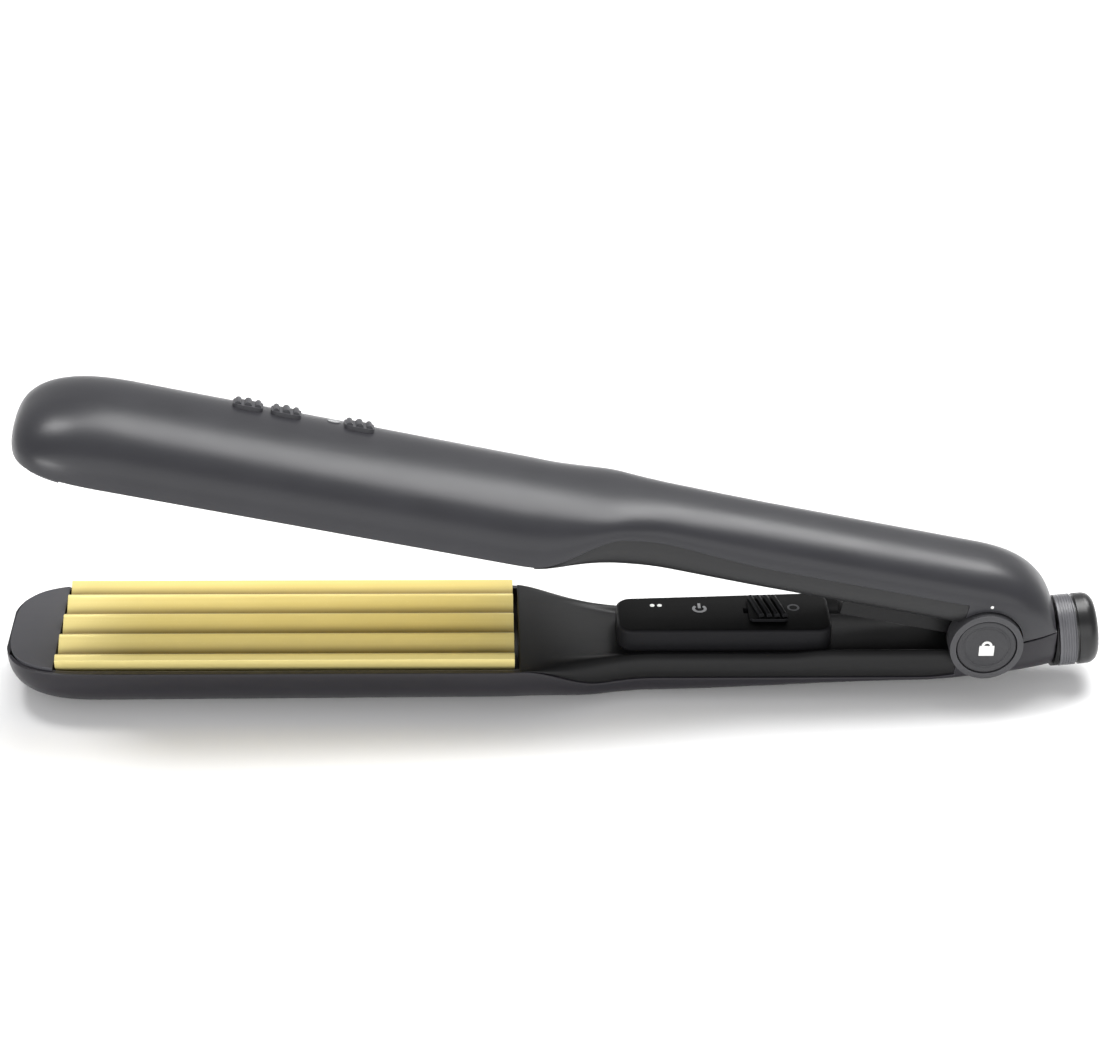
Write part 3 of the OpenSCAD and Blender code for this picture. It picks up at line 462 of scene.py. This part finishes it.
def crown(x, upper):
    """Depth of a skin's back below the plane between the arms."""
    swell = HEAD_DEPTH + TIP_SWELL * max(0, NECK_START - x) / (NECK_START - HEAD_START)
    if x < HEAD_START:
        tip = bow((HEAD_START - x) / TIP_LEN, UPPER_TIP_POWER if upper else LOWER_TIP_POWER)
        return RIM_DEPTH + (HEAD_DEPTH + TIP_SWELL - RIM_DEPTH) * tip
    if not upper:
        return swell - TAIL_RISE * ease(NECK_END - 4, -4, x)
    if x < HEEL_START:
        return swell + (GRIP_DEPTH - HEAD_DEPTH) * ease(NECK_START, NECK_END, x)
    along = (x - HEEL_START) / (HEEL_END + 0.35 - HEEL_START)
    return HEEL_RIM + (GRIP_DEPTH - HEEL_RIM) * bow(along, HEEL_POWER)


def seam(x, upper):
    """Depth of the parting line between a skin and its cover."""
    tail_drop = (SEAM_DEPTH - TAIL_SEAM) * ease(TAIL_START, TAIL_END, x)
    swell = 2 * ease(COVER_START, SEAM_END, x) * (1 - ease(NECK_END - 8, -58, x))
    if x < HEEL_START:
        head = RIM_DEPTH + (SEAM_DEPTH - RIM_DEPTH) * ease(COVER_START, SEAM_END, x)
        return head + (swell if upper else -tail_drop)
    return SEAM_DEPTH * crown(x, upper) / GRIP_DEPTH if upper else SEAM_DEPTH - tail_drop


def bulge(x, z, upper):
    """How far the upper tip swells beyond its rim, most at half its height."""
    if not upper:
        return 0
    share = min(1, max(0, (-z - RIM_DEPTH) / (HEAD_DEPTH + TIP_SWELL - RIM_DEPTH)))
    return ease(HEAD_START, HEAD_START - 0.8 * TIP_LEN, x) * math.sin(math.pi * share ** 0.9)


def rim(x, upper):
    """Height of the skin's edge: under the cover in front of the hinge, the stop plane behind it."""
    if x < COVER_END:
        return RIM_LIP - seam(x, upper)
    slope, a = math.tan(math.radians(STOP_ANGLE)), math.radians(OPEN_ANGLE)
    if not upper:
        return TAIL_STOP + x * slope
    rise = HEEL_STOP + x * (math.sin(a) + slope * math.cos(a))
    return -rise / (math.cos(a) - slope * math.sin(a))


print("half width at the tip, head and grip:",
      [round(half_width(x), 1) for x in (-246, -200, -60)])

# %% [markdown]
# ## From sections to a skin
# Each section is a closed loop: over the outside, round the rolled edge, and back along the
# inside. Stitching the loops gives clean four-sided faces, and a strip closes each end.

# %% Lofting and smoothing tools
stood_in = set()


def stands_for(node):
    """The piece takes the place of one solid of the construction model."""
    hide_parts(node)
    stood_in.add(node)


def own(name, mesh, place, body, slot, skin=None):
    """Puts a mesh drawn in millimetres in its place, on its body, with its finish."""
    if place.determinant() < 0:
        bmesh.ops.reverse_faces(mesh, faces=mesh.faces)
    mesh.transform(place)
    data = bpy.data.meshes.new(name)
    mesh.to_mesh(data)
    mesh.free()
    piece = bpy.data.objects.new(name, data)
    bpy.context.scene.collection.objects.link(piece)
    data.materials.append(finishes[skin or slot])
    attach(piece, body)
    return piece


def smooth(piece, limit=32):
    """Smooth faces, with a crease wherever two faces meet at more than limit degrees."""
    mesh = bmesh.new()
    mesh.from_mesh(piece.data)
    for face in mesh.faces:
        face.smooth = True
    for edge in mesh.edges:
        turn = edge.calc_face_angle(math.pi) if len(edge.link_faces) == 2 else math.pi
        edge.smooth = turn < math.radians(limit)
    mesh.to_mesh(piece.data)
    mesh.free()


def loft(loops, strip_ends=True):
    """Four-sided faces between closed loops. Each loop's second half runs back along the inside."""
    mesh = bmesh.new()
    rows = [[mesh.verts.new(point) for point in loop] for loop in loops]
    count = len(rows[0])
    for a, b in zip(rows, rows[1:]):
        for i in range(count):
            j = (i + 1) % count
            mesh.faces.new((a[i], b[i], b[j], a[j]))
    for row, last in ((rows[0], False), (rows[-1], True)):
        if strip_ends:
            strips = [(row[i], row[i + 1], row[count - 2 - i], row[count - 1 - i])
                      for i in range(count // 2 - 1)]
        else:
            strips = [row]
        for strip in strips:
            mesh.faces.new(strip[::-1] if last else strip)
    bmesh.ops.remove_doubles(mesh, verts=mesh.verts, dist=1e-5)
    bmesh.ops.recalc_face_normals(mesh, faces=mesh.faces)
    return mesh


def cut(piece, *tools):
    """Takes the shapes of the tools out of a piece, once and for good."""
    for tool in tools:
        taking = piece.modifiers.new("cut", "BOOLEAN")
        taking.operation, taking.solver, taking.object = "DIFFERENCE", "EXACT", tool
        shaped = bpy.data.meshes.new_from_object(
            piece.evaluated_get(bpy.context.evaluated_depsgraph_get()))
        piece.modifiers.clear()
        piece.data = shaped
        bpy.data.objects.remove(tool)
    return piece


def turned_to(way):
    """The turn that takes the Z axis to the given direction."""
    return Vector((0, 0, 1)).rotation_difference(Vector(way)).to_matrix().to_4x4()


def tool_from(mesh):
    """An object to cut with, made of a mesh already in its place."""
    data = bpy.data.meshes.new("tool")
    mesh.to_mesh(data)
    mesh.free()
    tool = bpy.data.objects.new("tool", data)
    bpy.context.scene.collection.objects.link(tool)
    return tool


def rod_tool(place, centre, way, radius, length, steps):
    """A cylinder to cut with, in the arm's frame, centred on a point."""
    mesh = bmesh.new()
    bmesh.ops.create_cone(mesh, cap_ends=True, segments=steps, radius1=radius, radius2=radius,
                          depth=length)
    mesh.transform(place @ Matrix.Translation(centre) @ turned_to(way))
    if place.determinant() < 0:
        bmesh.ops.reverse_faces(mesh, faces=mesh.faces)
    return tool_from(mesh)


UPPER_GAP_R, LOWER_GAP_R, GAP_LEN = 9.65, 9.35, 60


def clear_of_ring(piece, upper, place):
    """Cuts the round opening that the hinge ring stands in."""
    radius = UPPER_GAP_R if upper else LOWER_GAP_R
    return cut(piece, rod_tool(place, (0, 0, 0), (0, 1, 0), radius, GAP_LEN, 144))


# %% [markdown]
# ## The outer skins
# Each arm's outer skin runs in one piece from the blunt tip over the neck to the heel. Its rim is
# rolled over a third of a millimetre, because a moulded edge is never sharp and that small
# radius is what catches the light.

# %% Outer skins of both arms
ROLL_R = 0.32
ARC = 56


def stations(upper):
    """Where the sections are drawn: closest at the tip, the neck and the heel."""
    tip = [HEAD_START - TIP_LEN * math.cos(math.radians(10 + 80 * i / 26)) for i in range(27)]
    head = [x / 2 for x in range(-436, -246, 7)]
    neck = [NECK_START + 1.5 * i for i in range(27)]
    grip = [NECK_END + 3 * i for i in range(1, 23)]
    tail = [TAIL_START + i for i in range(1, 9)] + [COVER_END - 0.25, COVER_END + 0.25]
    back = [-6 + i for i in range(19)]
    heel = [13.6, 14.2, 15, 15.8, 16.4, 17, 17.5, HEEL_END]
    ends = heel if upper else [14, 15, 16, 17, 18, TAIL_END]
    return sorted(set(tip + head + neck + grip + tail + back + ends))


def bowl(x, upper, inset):
    """Half of a section of a skin: from one rim over the rounded back to the other rim."""
    w, top = half_width(x) - inset, rim(x, upper)
    middle = min(top, -seam(x, upper))
    low = -99 if upper else inset - REST_DEPTH
    deep = max(0.1, crown(x, upper) - inset + middle)
    power = SECTION_POWER + 0.08 * ease(NECK_START, NECK_END, x)
    power -= 0 if upper else 0.3 * ease(TAIL_START, TAIL_END, x)
    r = min(ROLL_R, 0.45 * deep, 0.45 * w)
    rolled = [(w - r + r * math.sin(t), top - r + r * math.cos(t))
              for t in (0, math.pi / 8, math.pi / 4, 3 * math.pi / 8, math.pi / 2)]
    round_back = []
    for j in range(1, ARC):
        a = math.pi * j / ARC
        z = max(low, middle - deep * spow(math.sin(a), power))
        round_back.append((w * spow(math.cos(a), power), min(z, top - r)))
    half = [(-y, z) for y, z in rolled + round_back] + [(y, z) for y, z in reversed(rolled)]
    return [(x - bulge(x, z, upper), y, z) for y, z in half]


def lining(x, upper, inset):
    """The inside of the same section, or a flat deck near the tip."""
    if x > HEAD_START - TIP_LEN * 0.93:
        return bowl(x, upper, inset)
    top = rim(x, upper) - 0.01
    return [(x, y * 0.98, top) for _, y, _ in bowl(x, upper, 0)]


def skin(name, upper, place, body, finish_name):
    """An arm's outer skin, lofted and cut clear of the hinge ring."""
    loops = [bowl(x, upper, 0) + lining(x, upper, wall(x))[::-1] for x in stations(upper)]
    piece = own(name, loft(loops), place, body, "body_plastic", finish_name)
    return clear_of_ring(piece, upper, place)


upper_skin = skin("upper_skin", True, UPPER, "upper_arm", "body_plastic")
smooth(upper_skin)
stands_for("upper_shell")
lower_skin = skin("lower_skin", False, LOWER, "lower_arm", "lower_body")
print("upper skin", len(upper_skin.data.polygons), "faces")

# %% [markdown]
# ## Screw wells under the lower handle
# Two screws hold the lower handle together from below. Their heads stand in round wells that
# are cut after the skin is lofted, because a loft alone can't hold a round hole.

# %% Wells for the lower screws
LOWER_SCREWS, WELL_R = (-104, -26), 2.4

for x in LOWER_SCREWS:
    floor_z = -min(REST_DEPTH, crown(x, False))
    cut(lower_skin, rod_tool(LOWER, (x, 0, floor_z - 1.2), (0, 0, 1), WELL_R, 5.8, 48))
smooth(lower_skin)
stands_for("lower_shell")
print("lower skin", len(lower_skin.data.polygons), "faces")

# %% [markdown]
# ## The handle covers
# Inside each handle a curved cover closes the shell from the scooped neck to the hinge. The
# small roll along its foot meets the rolled rim of the skin, and the two make the fine dark
# parting line that shows along the handle.

# %% Covers
LID_ARC, COVER_POWER = 64, 4
RIM_LEVEL = 2.6
GUARD_H, GUARD_START, GUARD_END = 2.6, -57, -16
COVER_WALL, UPPER_TROUGH, LOWER_TROUGH = 2.0, 4.8, 4.4
END_ROLL, FOOT_ROLL = 0.4, 0.4
UPPER_SCREWS, SHANK_R = (-102, -58, -17), 1.3


def rim_level(x, upper):
    """Depth of a cover's rims. The lower cover's rims rise a millimetre near the hinge."""
    return RIM_LEVEL if upper else RIM_LEVEL - ease(-50, -40, x)


def guard(x, across, upper):
    """The lower cover's far rim rises into a low wall near the hinge, which closes the view
    between the handles there."""
    if upper:
        return 0
    along = ease(GUARD_START, GUARD_START + 6, x) * (1 - ease(GUARD_END - 8, GUARD_END, x))
    return GUARD_H * along * ease(0.74, 0.86, -across)


def lid(x, upper):
    """A closed section of a cover: over the rims and the trough outside, and back underneath."""
    w, t = half_width(x), COVER_WALL
    foot = RIM_LIP + 0.05 - seam(x, upper)
    rise = max(0.3, -foot - rim_level(x, upper))
    trough = (UPPER_TROUGH if upper else LOWER_TROUGH) - rim_level(x, upper)
    dip = ease(-114, -90, x) * min(trough, rise - 0.3)
    back = max(0, END_ROLL - (x - COVER_START))
    drop = END_ROLL - math.sqrt(max(0, END_ROLL ** 2 - back ** 2))
    top = max(0.02, rise - min(drop, 0.25))
    r = min(FOOT_ROLL, 0.4 * top)
    outside, inside = [], []
    for j in range(LID_ARC + 1):
        a = math.pi * j / LID_ARC
        across, high = spow(math.cos(a), COVER_POWER), spow(math.sin(a), COVER_POWER)
        z = foot + top * high - dip * ease(0.86, 0.66, abs(across))
        z += guard(x, across, upper) * ease(0, 0.5, high)
        roll = r - math.sqrt(max(0, r * r - max(0, foot + r - z) ** 2))
        y = w * across
        outside.append((x, -(y - math.copysign(min(roll, abs(y)), y)), z))
        inside.append((x, -(w - t) * across, foot + (rise - dip - t) * high))
    return outside + inside[::-1]


def cover(name, upper, place, body, finish_name):
    """A handle's inner cover, lofted and cut clear of the hinge ring."""
    xs = [COVER_START + d for d in (0, 0.06, 0.15, 0.28, 0.45, 1.2)]
    xs += [NECK_START + 6 + 1.5 * i for i in range(23)]
    xs += [NECK_END + 3 * i for i in range(1, 23)] + [-15, -13, -11, -9, COVER_END - 0.3]
    piece = own(name, loft([lid(x, upper) for x in xs]), place, body, "handle_plastic", finish_name)
    return clear_of_ring(piece, upper, place)


upper_cover = cover("upper_cover", True, UPPER, "upper_arm", "upper_cover")
for x in UPPER_SCREWS:
    cut(upper_cover, rod_tool(UPPER, (x, 0, -3.2), (0, 0, 1), WELL_R, 5, 48),
        rod_tool(UPPER, (x, 0, -8), (0, 0, 1), SHANK_R, 7, 32))
smooth(upper_cover)
stands_for("upper_handle_cover")
lower_cover = cover("lower_cover", False, LOWER, "lower_arm", "handle_plastic")
print("covers drawn")

# %% [markdown]
# ## The control panel
# The panel is a raised island with upright sides and a rounded top edge. It flares a little
# towards the hinge on its far side. The same outline, drawn slightly larger, cuts the window
# that the panel stands in.

# %% Panel outline and body
PANEL_START, PANEL_END, PANEL_TOP, PANEL_BASE = -93.2, -38.2, 1.0, -7.3
PANEL_CORNER, PANEL_SIDE, PANEL_FLARE, CORNER_STEPS = 4, 4.2, 2.4, 14
PANEL_WALL, TOP_EDGE, WINDOW_GAP = 1.6, 0.9, 0.1
SWITCH_X, CONTROL_Y = -54.3, 1.6
LIGHTS, LIGHT_R = ((-83.8, 4.2), (-81.9, 4.2)), 0.65


def panel_loop(grow, z):
    """The panel's outline at height z, grown outwards by a little."""
    r = PANEL_CORNER + grow
    near, far = PANEL_START + PANEL_CORNER, PANEL_END - PANEL_CORNER
    turn = 90 + math.degrees(math.atan(PANEL_FLARE / (far - near)))
    corners = (((near, -PANEL_SIDE), 180, 270), ((far, -PANEL_SIDE), 270, 360),
               ((far, PANEL_SIDE + PANEL_FLARE), 0, turn), ((near, PANEL_SIDE), turn, 180))
    loop = []
    for (cx, cy), a, b in corners:
        for i in range(CORNER_STEPS + 1):
            t = math.radians(a + (b - a) * i / CORNER_STEPS)
            loop.append((cx + r * math.cos(t), cy + r * math.sin(t), z))
    return loop


def block_tool(loops):
    """A solid to cut the lower arm with, lofted between flat loops."""
    mesh = loft(loops, strip_ends=False)
    mesh.transform(LOWER)
    return tool_from(mesh)


def box_loop(x0, x1, y0, y1, z):
    """A rectangle at height z."""
    return [(x0, y0, z), (x1, y0, z), (x1, y1, z), (x0, y1, z)]


cut(lower_cover, block_tool([panel_loop(WINDOW_GAP, z) for z in (-11, 3)]))
smooth(lower_cover)
stands_for("lower_handle_cover")

arcs = [math.radians(90 * i / 6) for i in range(7)]
rounded_top = [panel_loop(TOP_EDGE * (math.cos(t) - 1), PANEL_TOP - TOP_EDGE + TOP_EDGE * math.sin(t))
               for t in arcs]
panel = own("panel", loft([panel_loop(0, PANEL_BASE)] + rounded_top, strip_ends=False), LOWER,
            "lower_arm", "panel_plastic")
cut(panel, block_tool([panel_loop(-PANEL_WALL, z) for z in (-9, -0.5)]),
    block_tool([box_loop(SWITCH_X - 6.2, SWITCH_X + 1.8, CONTROL_Y - 1.3, CONTROL_Y + 1.3, z)
                for z in (-3, 3)]))
for x, y in LIGHTS:
    cut(panel, rod_tool(LOWER, (x, y, 0), (0, 0, 1), LIGHT_R, 6, 32))
smooth(panel)
stands_for("control_panel")
print("panel", len(panel.data.polygons), "faces")

# %% [markdown]
# ## The crimping plates
# A plate is an extrusion of one wave. Its flanks are nearly flat and its crests are rounded,
# so the wave is an arcsine of a cosine. The upper plate's valleys stand over the lower one's
# crests. A last chamfer at each end keeps hair from catching.

# %% Plates
WAVE_H, SHARP, WAVE_STEPS = 2.9, 0.96, 216
PLATE_FOOT = [(PLATE_W, -2.1), (16.4, -5.2), (15.4, -5.2), (15.4, -6.6)]


def wave(y):
    """Height of the corrugation at y, from its mean level."""
    phase = 2 * math.pi * (y - EDGE_CREST) / PITCH
    return WAVE_H / 2 * math.asin(SHARP * math.cos(phase)) / math.asin(SHARP)


def plate(name, mean, turn, place, body, node):
    """One plate: `mean` is its middle level and `turn` is 1, or -1 for the mirrored wave."""
    def loop(x, sink):
        """A closed section: the wave on top, and the stepped foot underneath."""
        ys = [-PLATE_W + 2 * PLATE_W * i / WAVE_STEPS for i in range(WAVE_STEPS + 1)]
        foot = PLATE_FOOT + [(-y, z) for y, z in reversed(PLATE_FOOT)]
        return [(x, y, mean + turn * wave(y) - sink) for y in ys] + [(x, y, z) for y, z in foot]
    ends = [(PLATE_START, 0.18), (PLATE_START + 0.06, 0.06), (PLATE_START + 0.2, 0)]
    xs = ends + [(PLATE_START + 23 * i, 0) for i in range(1, 5)]
    xs += [(PLATE_END - 0.2, 0), (PLATE_END - 0.06, 0.06), (PLATE_END, 0.18)]
    mesh = loft([loop(x, sink) for x, sink in xs], strip_ends=False)
    piece = own(name, mesh, place, body, "plate")
    smooth(piece, 40)
    stands_for(node)


plate("lower_plate", -0.9, 1, LOWER, "lower_arm", "lower_crimp_plate")
plate("upper_plate", 0.4, -1, UPPER_JAW, "upper_arm", "upper_crimp_plate")
print("two plates,", round(PLATE_LEN), "mm long")

# %% [markdown]
# ## Turned pieces
# The lock button, its rear cap and the cord collar are all turned shapes: a profile of radius
# against height, spun round an axis. The button has a shallow ring groove for the finger, and
# the collar has fine ribs, one deep groove and a rounded end.

# %% Turning
def turned(profile, steps=120):
    """Spins (radius, along) points round the local Z axis."""
    mesh = bmesh.new()
    rows = []
    for i in range(steps):
        a = 2 * math.pi * i / steps
        rows.append([mesh.verts.new((r * math.cos(a), r * math.sin(a), z)) for r, z in profile])
    for i in range(steps):
        a, b = rows[i], rows[(i + 1) % steps]
        for j in range(len(profile)):
            k = (j + 1) % len(profile)
            mesh.faces.new((a[j], b[j], b[k], a[k]))
    bmesh.ops.remove_doubles(mesh, verts=mesh.verts, dist=1e-5)
    loose = [face for face in mesh.faces if face.calc_area() < 1e-9]
    bmesh.ops.delete(mesh, geom=loose, context="FACES")
    bmesh.ops.recalc_face_normals(mesh, faces=mesh.faces)
    return mesh


def arc(cx, cz, r, a, b, steps=6):
    """Points round a centre, from angle a to angle b in degrees."""
    return [(cx + r * math.cos(math.radians(a + (b - a) * i / steps)),
             cz + r * math.sin(math.radians(a + (b - a) * i / steps))) for i in range(steps + 1)]


# %% Lock button and rear cap
button_profile = ([(0, 0), (5.3, 0), (5.45, 0.08), (5.6, 0.2), (5.8, 0.25), (6.0, 0.2), (6.15, 0.08),
                   (6.3, 0)] + arc(7.1, 0.5, 0.5, -90, 0) + [(7.6, 1.8), (0, 1.8)])
BUTTON_Y, CAP_Y = -14.7, 12.6
lock_ends = (("button", BUTTON_Y, -90, "lock_button"), ("rear_cap", CAP_Y, 90, "lock_rear_cap"))
for name, y, turn, node in lock_ends:
    place = LOWER @ Matrix.Translation((0, y, 0)) @ Matrix.Rotation(math.radians(turn), 4, "X")
    piece = own(name, turned(button_profile), place, "hinge_lock", "panel_plastic", "button_plastic")
    smooth(piece, 50)
    stands_for(node)

# %% Cord collar
RIB_R, RIB_FOOT_R, RIB_PITCH = 9.2, 9.05, 0.66
CORD_HOLE_R, CORE_HOLE_R, COLLAR_LEN = 3.3, 1.7, 10.2

ribs = []
for i in range(6):
    x = 0.35 + RIB_PITCH * i
    ribs += [(RIB_R, x), (RIB_R, x + 0.3), (RIB_FOOT_R, x + 0.4), (RIB_FOOT_R, x + 0.56)]
deep_groove = [(RIB_R, 4.1), (9.15, 4.15)] + arc(9.3, GROOVE_MIDDLE, 0.7, 222, 138, 8)
deep_groove += [(9.15, 5.05), (RIB_R, 5.1)]
rounded_end = arc(6.2, 7.2, 3.0, 0, 90, 14)
bore = [(3.5, COLLAR_LEN)] + arc(3.5, COLLAR_LEN - 0.2, 0.2, 90, 180, 4)
bore += [(CORD_HOLE_R, 1.6), (CORE_HOLE_R, 1.6), (CORE_HOLE_R, 0), (9.1, 0), (RIB_R, 0.1)]
cord_place = Matrix.Translation(AXIS_START) @ turned_to(AXIS_WAY) @ Matrix.Scale(MM, 4)
collar = own("collar", turned(ribs + deep_groove + rounded_end + bore, 144), cord_place, "cord_swivel",
             "collar_plastic")
smooth(collar, 40)
stands_for("swivel_collar")
print("button, cap and collar turned")

# %% [markdown]
# ## Printed signs
# A sign is printed ink a few hundredths of a millimetre thick. A thin real layer is easier to
# control than a picture, and it exports cleanly. The power sign is a broken ring with a bar,
# and a small ring beside the switch means off. A small white dot of the same thin layer is
# laid on the upper arm, just above the hinge ring.

# %% Ink
INK_H, DOT_R = 0.03, 0.42
POWER_SIGN_AT, OFF_SIGN_AT, DOT_AT = (-71.7, 2.6), (-47.4, 3.0), (-1.6, -9.9)


def ink(name, shapes, place, body, skin_name):
    """Flat prisms, each a list of outline points, raised by the thickness of ink."""
    mesh = bmesh.new()
    for outline in shapes:
        low = [mesh.verts.new((x, y, 0)) for x, y in outline]
        high = [mesh.verts.new((x, y, INK_H)) for x, y in outline]
        count = len(outline)
        mesh.faces.new(low[::-1])
        mesh.faces.new(high)
        for i in range(count):
            j = (i + 1) % count
            mesh.faces.new((low[i], low[j], high[j], high[i]))
    own(name, mesh, place, body, "print", skin_name)


def ring_band(r, width, a, b):
    """Outline of a part of a flat ring, from angle a to angle b in degrees."""
    return arc(0, 0, r + width / 2, a, b, 24) + arc(0, 0, r - width / 2, a, b, 24)[::-1]


power_sign = [ring_band(1.5, 0.75, 132, 408), [(-0.36, 0.2), (0.36, 0.2), (0.36, 2.5), (-0.36, 2.5)]]
ink("power_sign", power_sign, LOWER @ Matrix.Translation((*POWER_SIGN_AT, PANEL_TOP)), "lower_arm",
    "grey_print")
off_sign = [ring_band(1.3, 0.6, 0, 180), ring_band(1.3, 0.6, 180, 360)]
ink("off_sign", off_sign, LOWER @ Matrix.Translation((*OFF_SIGN_AT, PANEL_TOP)), "lower_arm",
    "faint_print")


def on_upper_side(x, z):
    """A place just off the upper skin's near side, facing outwards, found on its section."""
    points = [p for p in bowl(x, True, 0) if p[1] < 0]
    nearest = min(range(1, len(points) - 1), key=lambda i: abs(points[i][2] - z))
    here = Vector(points[nearest])
    along = Vector(points[nearest + 1]) - Vector(points[nearest - 1])
    face = Vector((0, along.z, -along.y)).normalized()
    face = -face if face.y > 0 else face
    return Matrix.Translation(here + 0.02 * face) @ turned_to(face)


dot = [arc(0, 0, DOT_R, 0, 342, 19)]
ink("hinge_dot", dot, UPPER @ on_upper_side(*DOT_AT), "upper_arm", "print")
print("signs printed")

# %% [markdown]
# ## Small solids from the construction model
# The rest of the solids already have the right shape. Modifiers, which leave the mesh itself
# alone, weld the imported corners, round the edges a little and shade the curves smooth.

# %% Two small geometry groups
def geometry_group(name, build):
    """A geometry modifier's group, whose steps come from `build(group, shape)`."""
    group = bpy.data.node_groups.new(name, "GeometryNodeTree")
    group.interface.new_socket("Geometry", in_out="INPUT", socket_type="NodeSocketGeometry")
    group.interface.new_socket("Geometry", in_out="OUTPUT", socket_type="NodeSocketGeometry")
    start, end = group.nodes.new("NodeGroupInput"), group.nodes.new("NodeGroupOutput")
    group.links.new(build(group, start.outputs[0]), end.inputs[0])
    return group


def weld_steps(group, shape):
    """Joins corners that lie together and drops the imported shading."""
    weld = group.nodes.new("GeometryNodeMergeByDistance")
    weld.inputs["Distance"].default_value = 1e-6
    forget = group.nodes.new("GeometryNodeRemoveAttribute")
    forget.inputs["Name"].default_value = "custom_normal"
    group.links.new(shape, weld.inputs["Geometry"])
    group.links.new(weld.outputs[0], forget.inputs["Geometry"])
    return forget.outputs[0]


def crease_steps(group, shape):
    """Shades faces smooth, with a crease at the sharper edges."""
    faces = group.nodes.new("GeometryNodeSetShadeSmooth")
    faces.domain = "FACE"
    creases = group.nodes.new("GeometryNodeSetShadeSmooth")
    creases.domain = "EDGE"
    creases.inputs["Shade Smooth"].default_value = False
    turn = group.nodes.new("GeometryNodeInputMeshEdgeAngle")
    sharp = group.nodes.new("FunctionNodeCompare")
    sharp.operation = "GREATER_THAN"
    sharp.inputs["B"].default_value = math.radians(34)
    group.links.new(turn.outputs[0], sharp.inputs["A"])
    group.links.new(shape, faces.inputs["Geometry"])
    group.links.new(faces.outputs[0], creases.inputs["Geometry"])
    group.links.new(sharp.outputs[0], creases.inputs["Selection"])
    return creases.outputs[0]


BEVEL_ANGLE = math.radians(38)
WELD = geometry_group("weld", weld_steps)
CREASE = geometry_group("crease", crease_steps)


def rounded(node, width_mm):
    """Rounds the edges of a construction solid by width_mm, without touching its mesh."""
    piece = nodes[node]
    piece.modifiers.new("weld", "NODES").node_group = WELD
    if width_mm:
        bevel = piece.modifiers.new("bevel", "BEVEL")
        bevel.width, bevel.segments = width_mm * MM, 3
        bevel.limit_method, bevel.angle_limit = "ANGLE", BEVEL_ANGLE
    piece.modifiers.new("crease", "NODES").node_group = CREASE


# %% Finishes and rounding for the carried-over solids
roundings = {
    "hinge_yoke": 0.3, "switch_slider": 0.12, "lower_tip_pad": 0.12, "upper_tip_pad": 0.12,
    "grip_pad_front": 0.12, "grip_pad_middle": 0.12, "grip_pad_rear": 0.12, "swivel_socket": 0.1,
    "lower_screws": 0.08, "upper_screws": 0.08, "hinge_tongue": 0.2, "lock_pin": 0.1,
    "tail_stop_plate": 0.1, "hinge_web": 0.3, "heel_stop_plate": 0.1, "lower_jaw_tray": 0.15,
    "upper_jaw_tray": 0.15, "switch_body": 0.1, "control_board": 0.05, "lower_heater": 0.05,
    "upper_heater": 0.05,
}
own_finishes = {"indicator_lens": "lens", "hinge_yoke": "ring_plastic"}  # the rest wear their slot's

for part in frame["record"]["subparts"]:
    node = part["node"]
    solid = nodes[node]
    solid.data.materials.clear()
    solid.data.materials.append(finishes[own_finishes.get(node, part["material_slot"])])
    if node not in stood_in:
        rounded(node, roundings.get(node, 0))
print(len(stood_in), "solids are stood in for,", len(nodes) - len(stood_in), "are carried over")
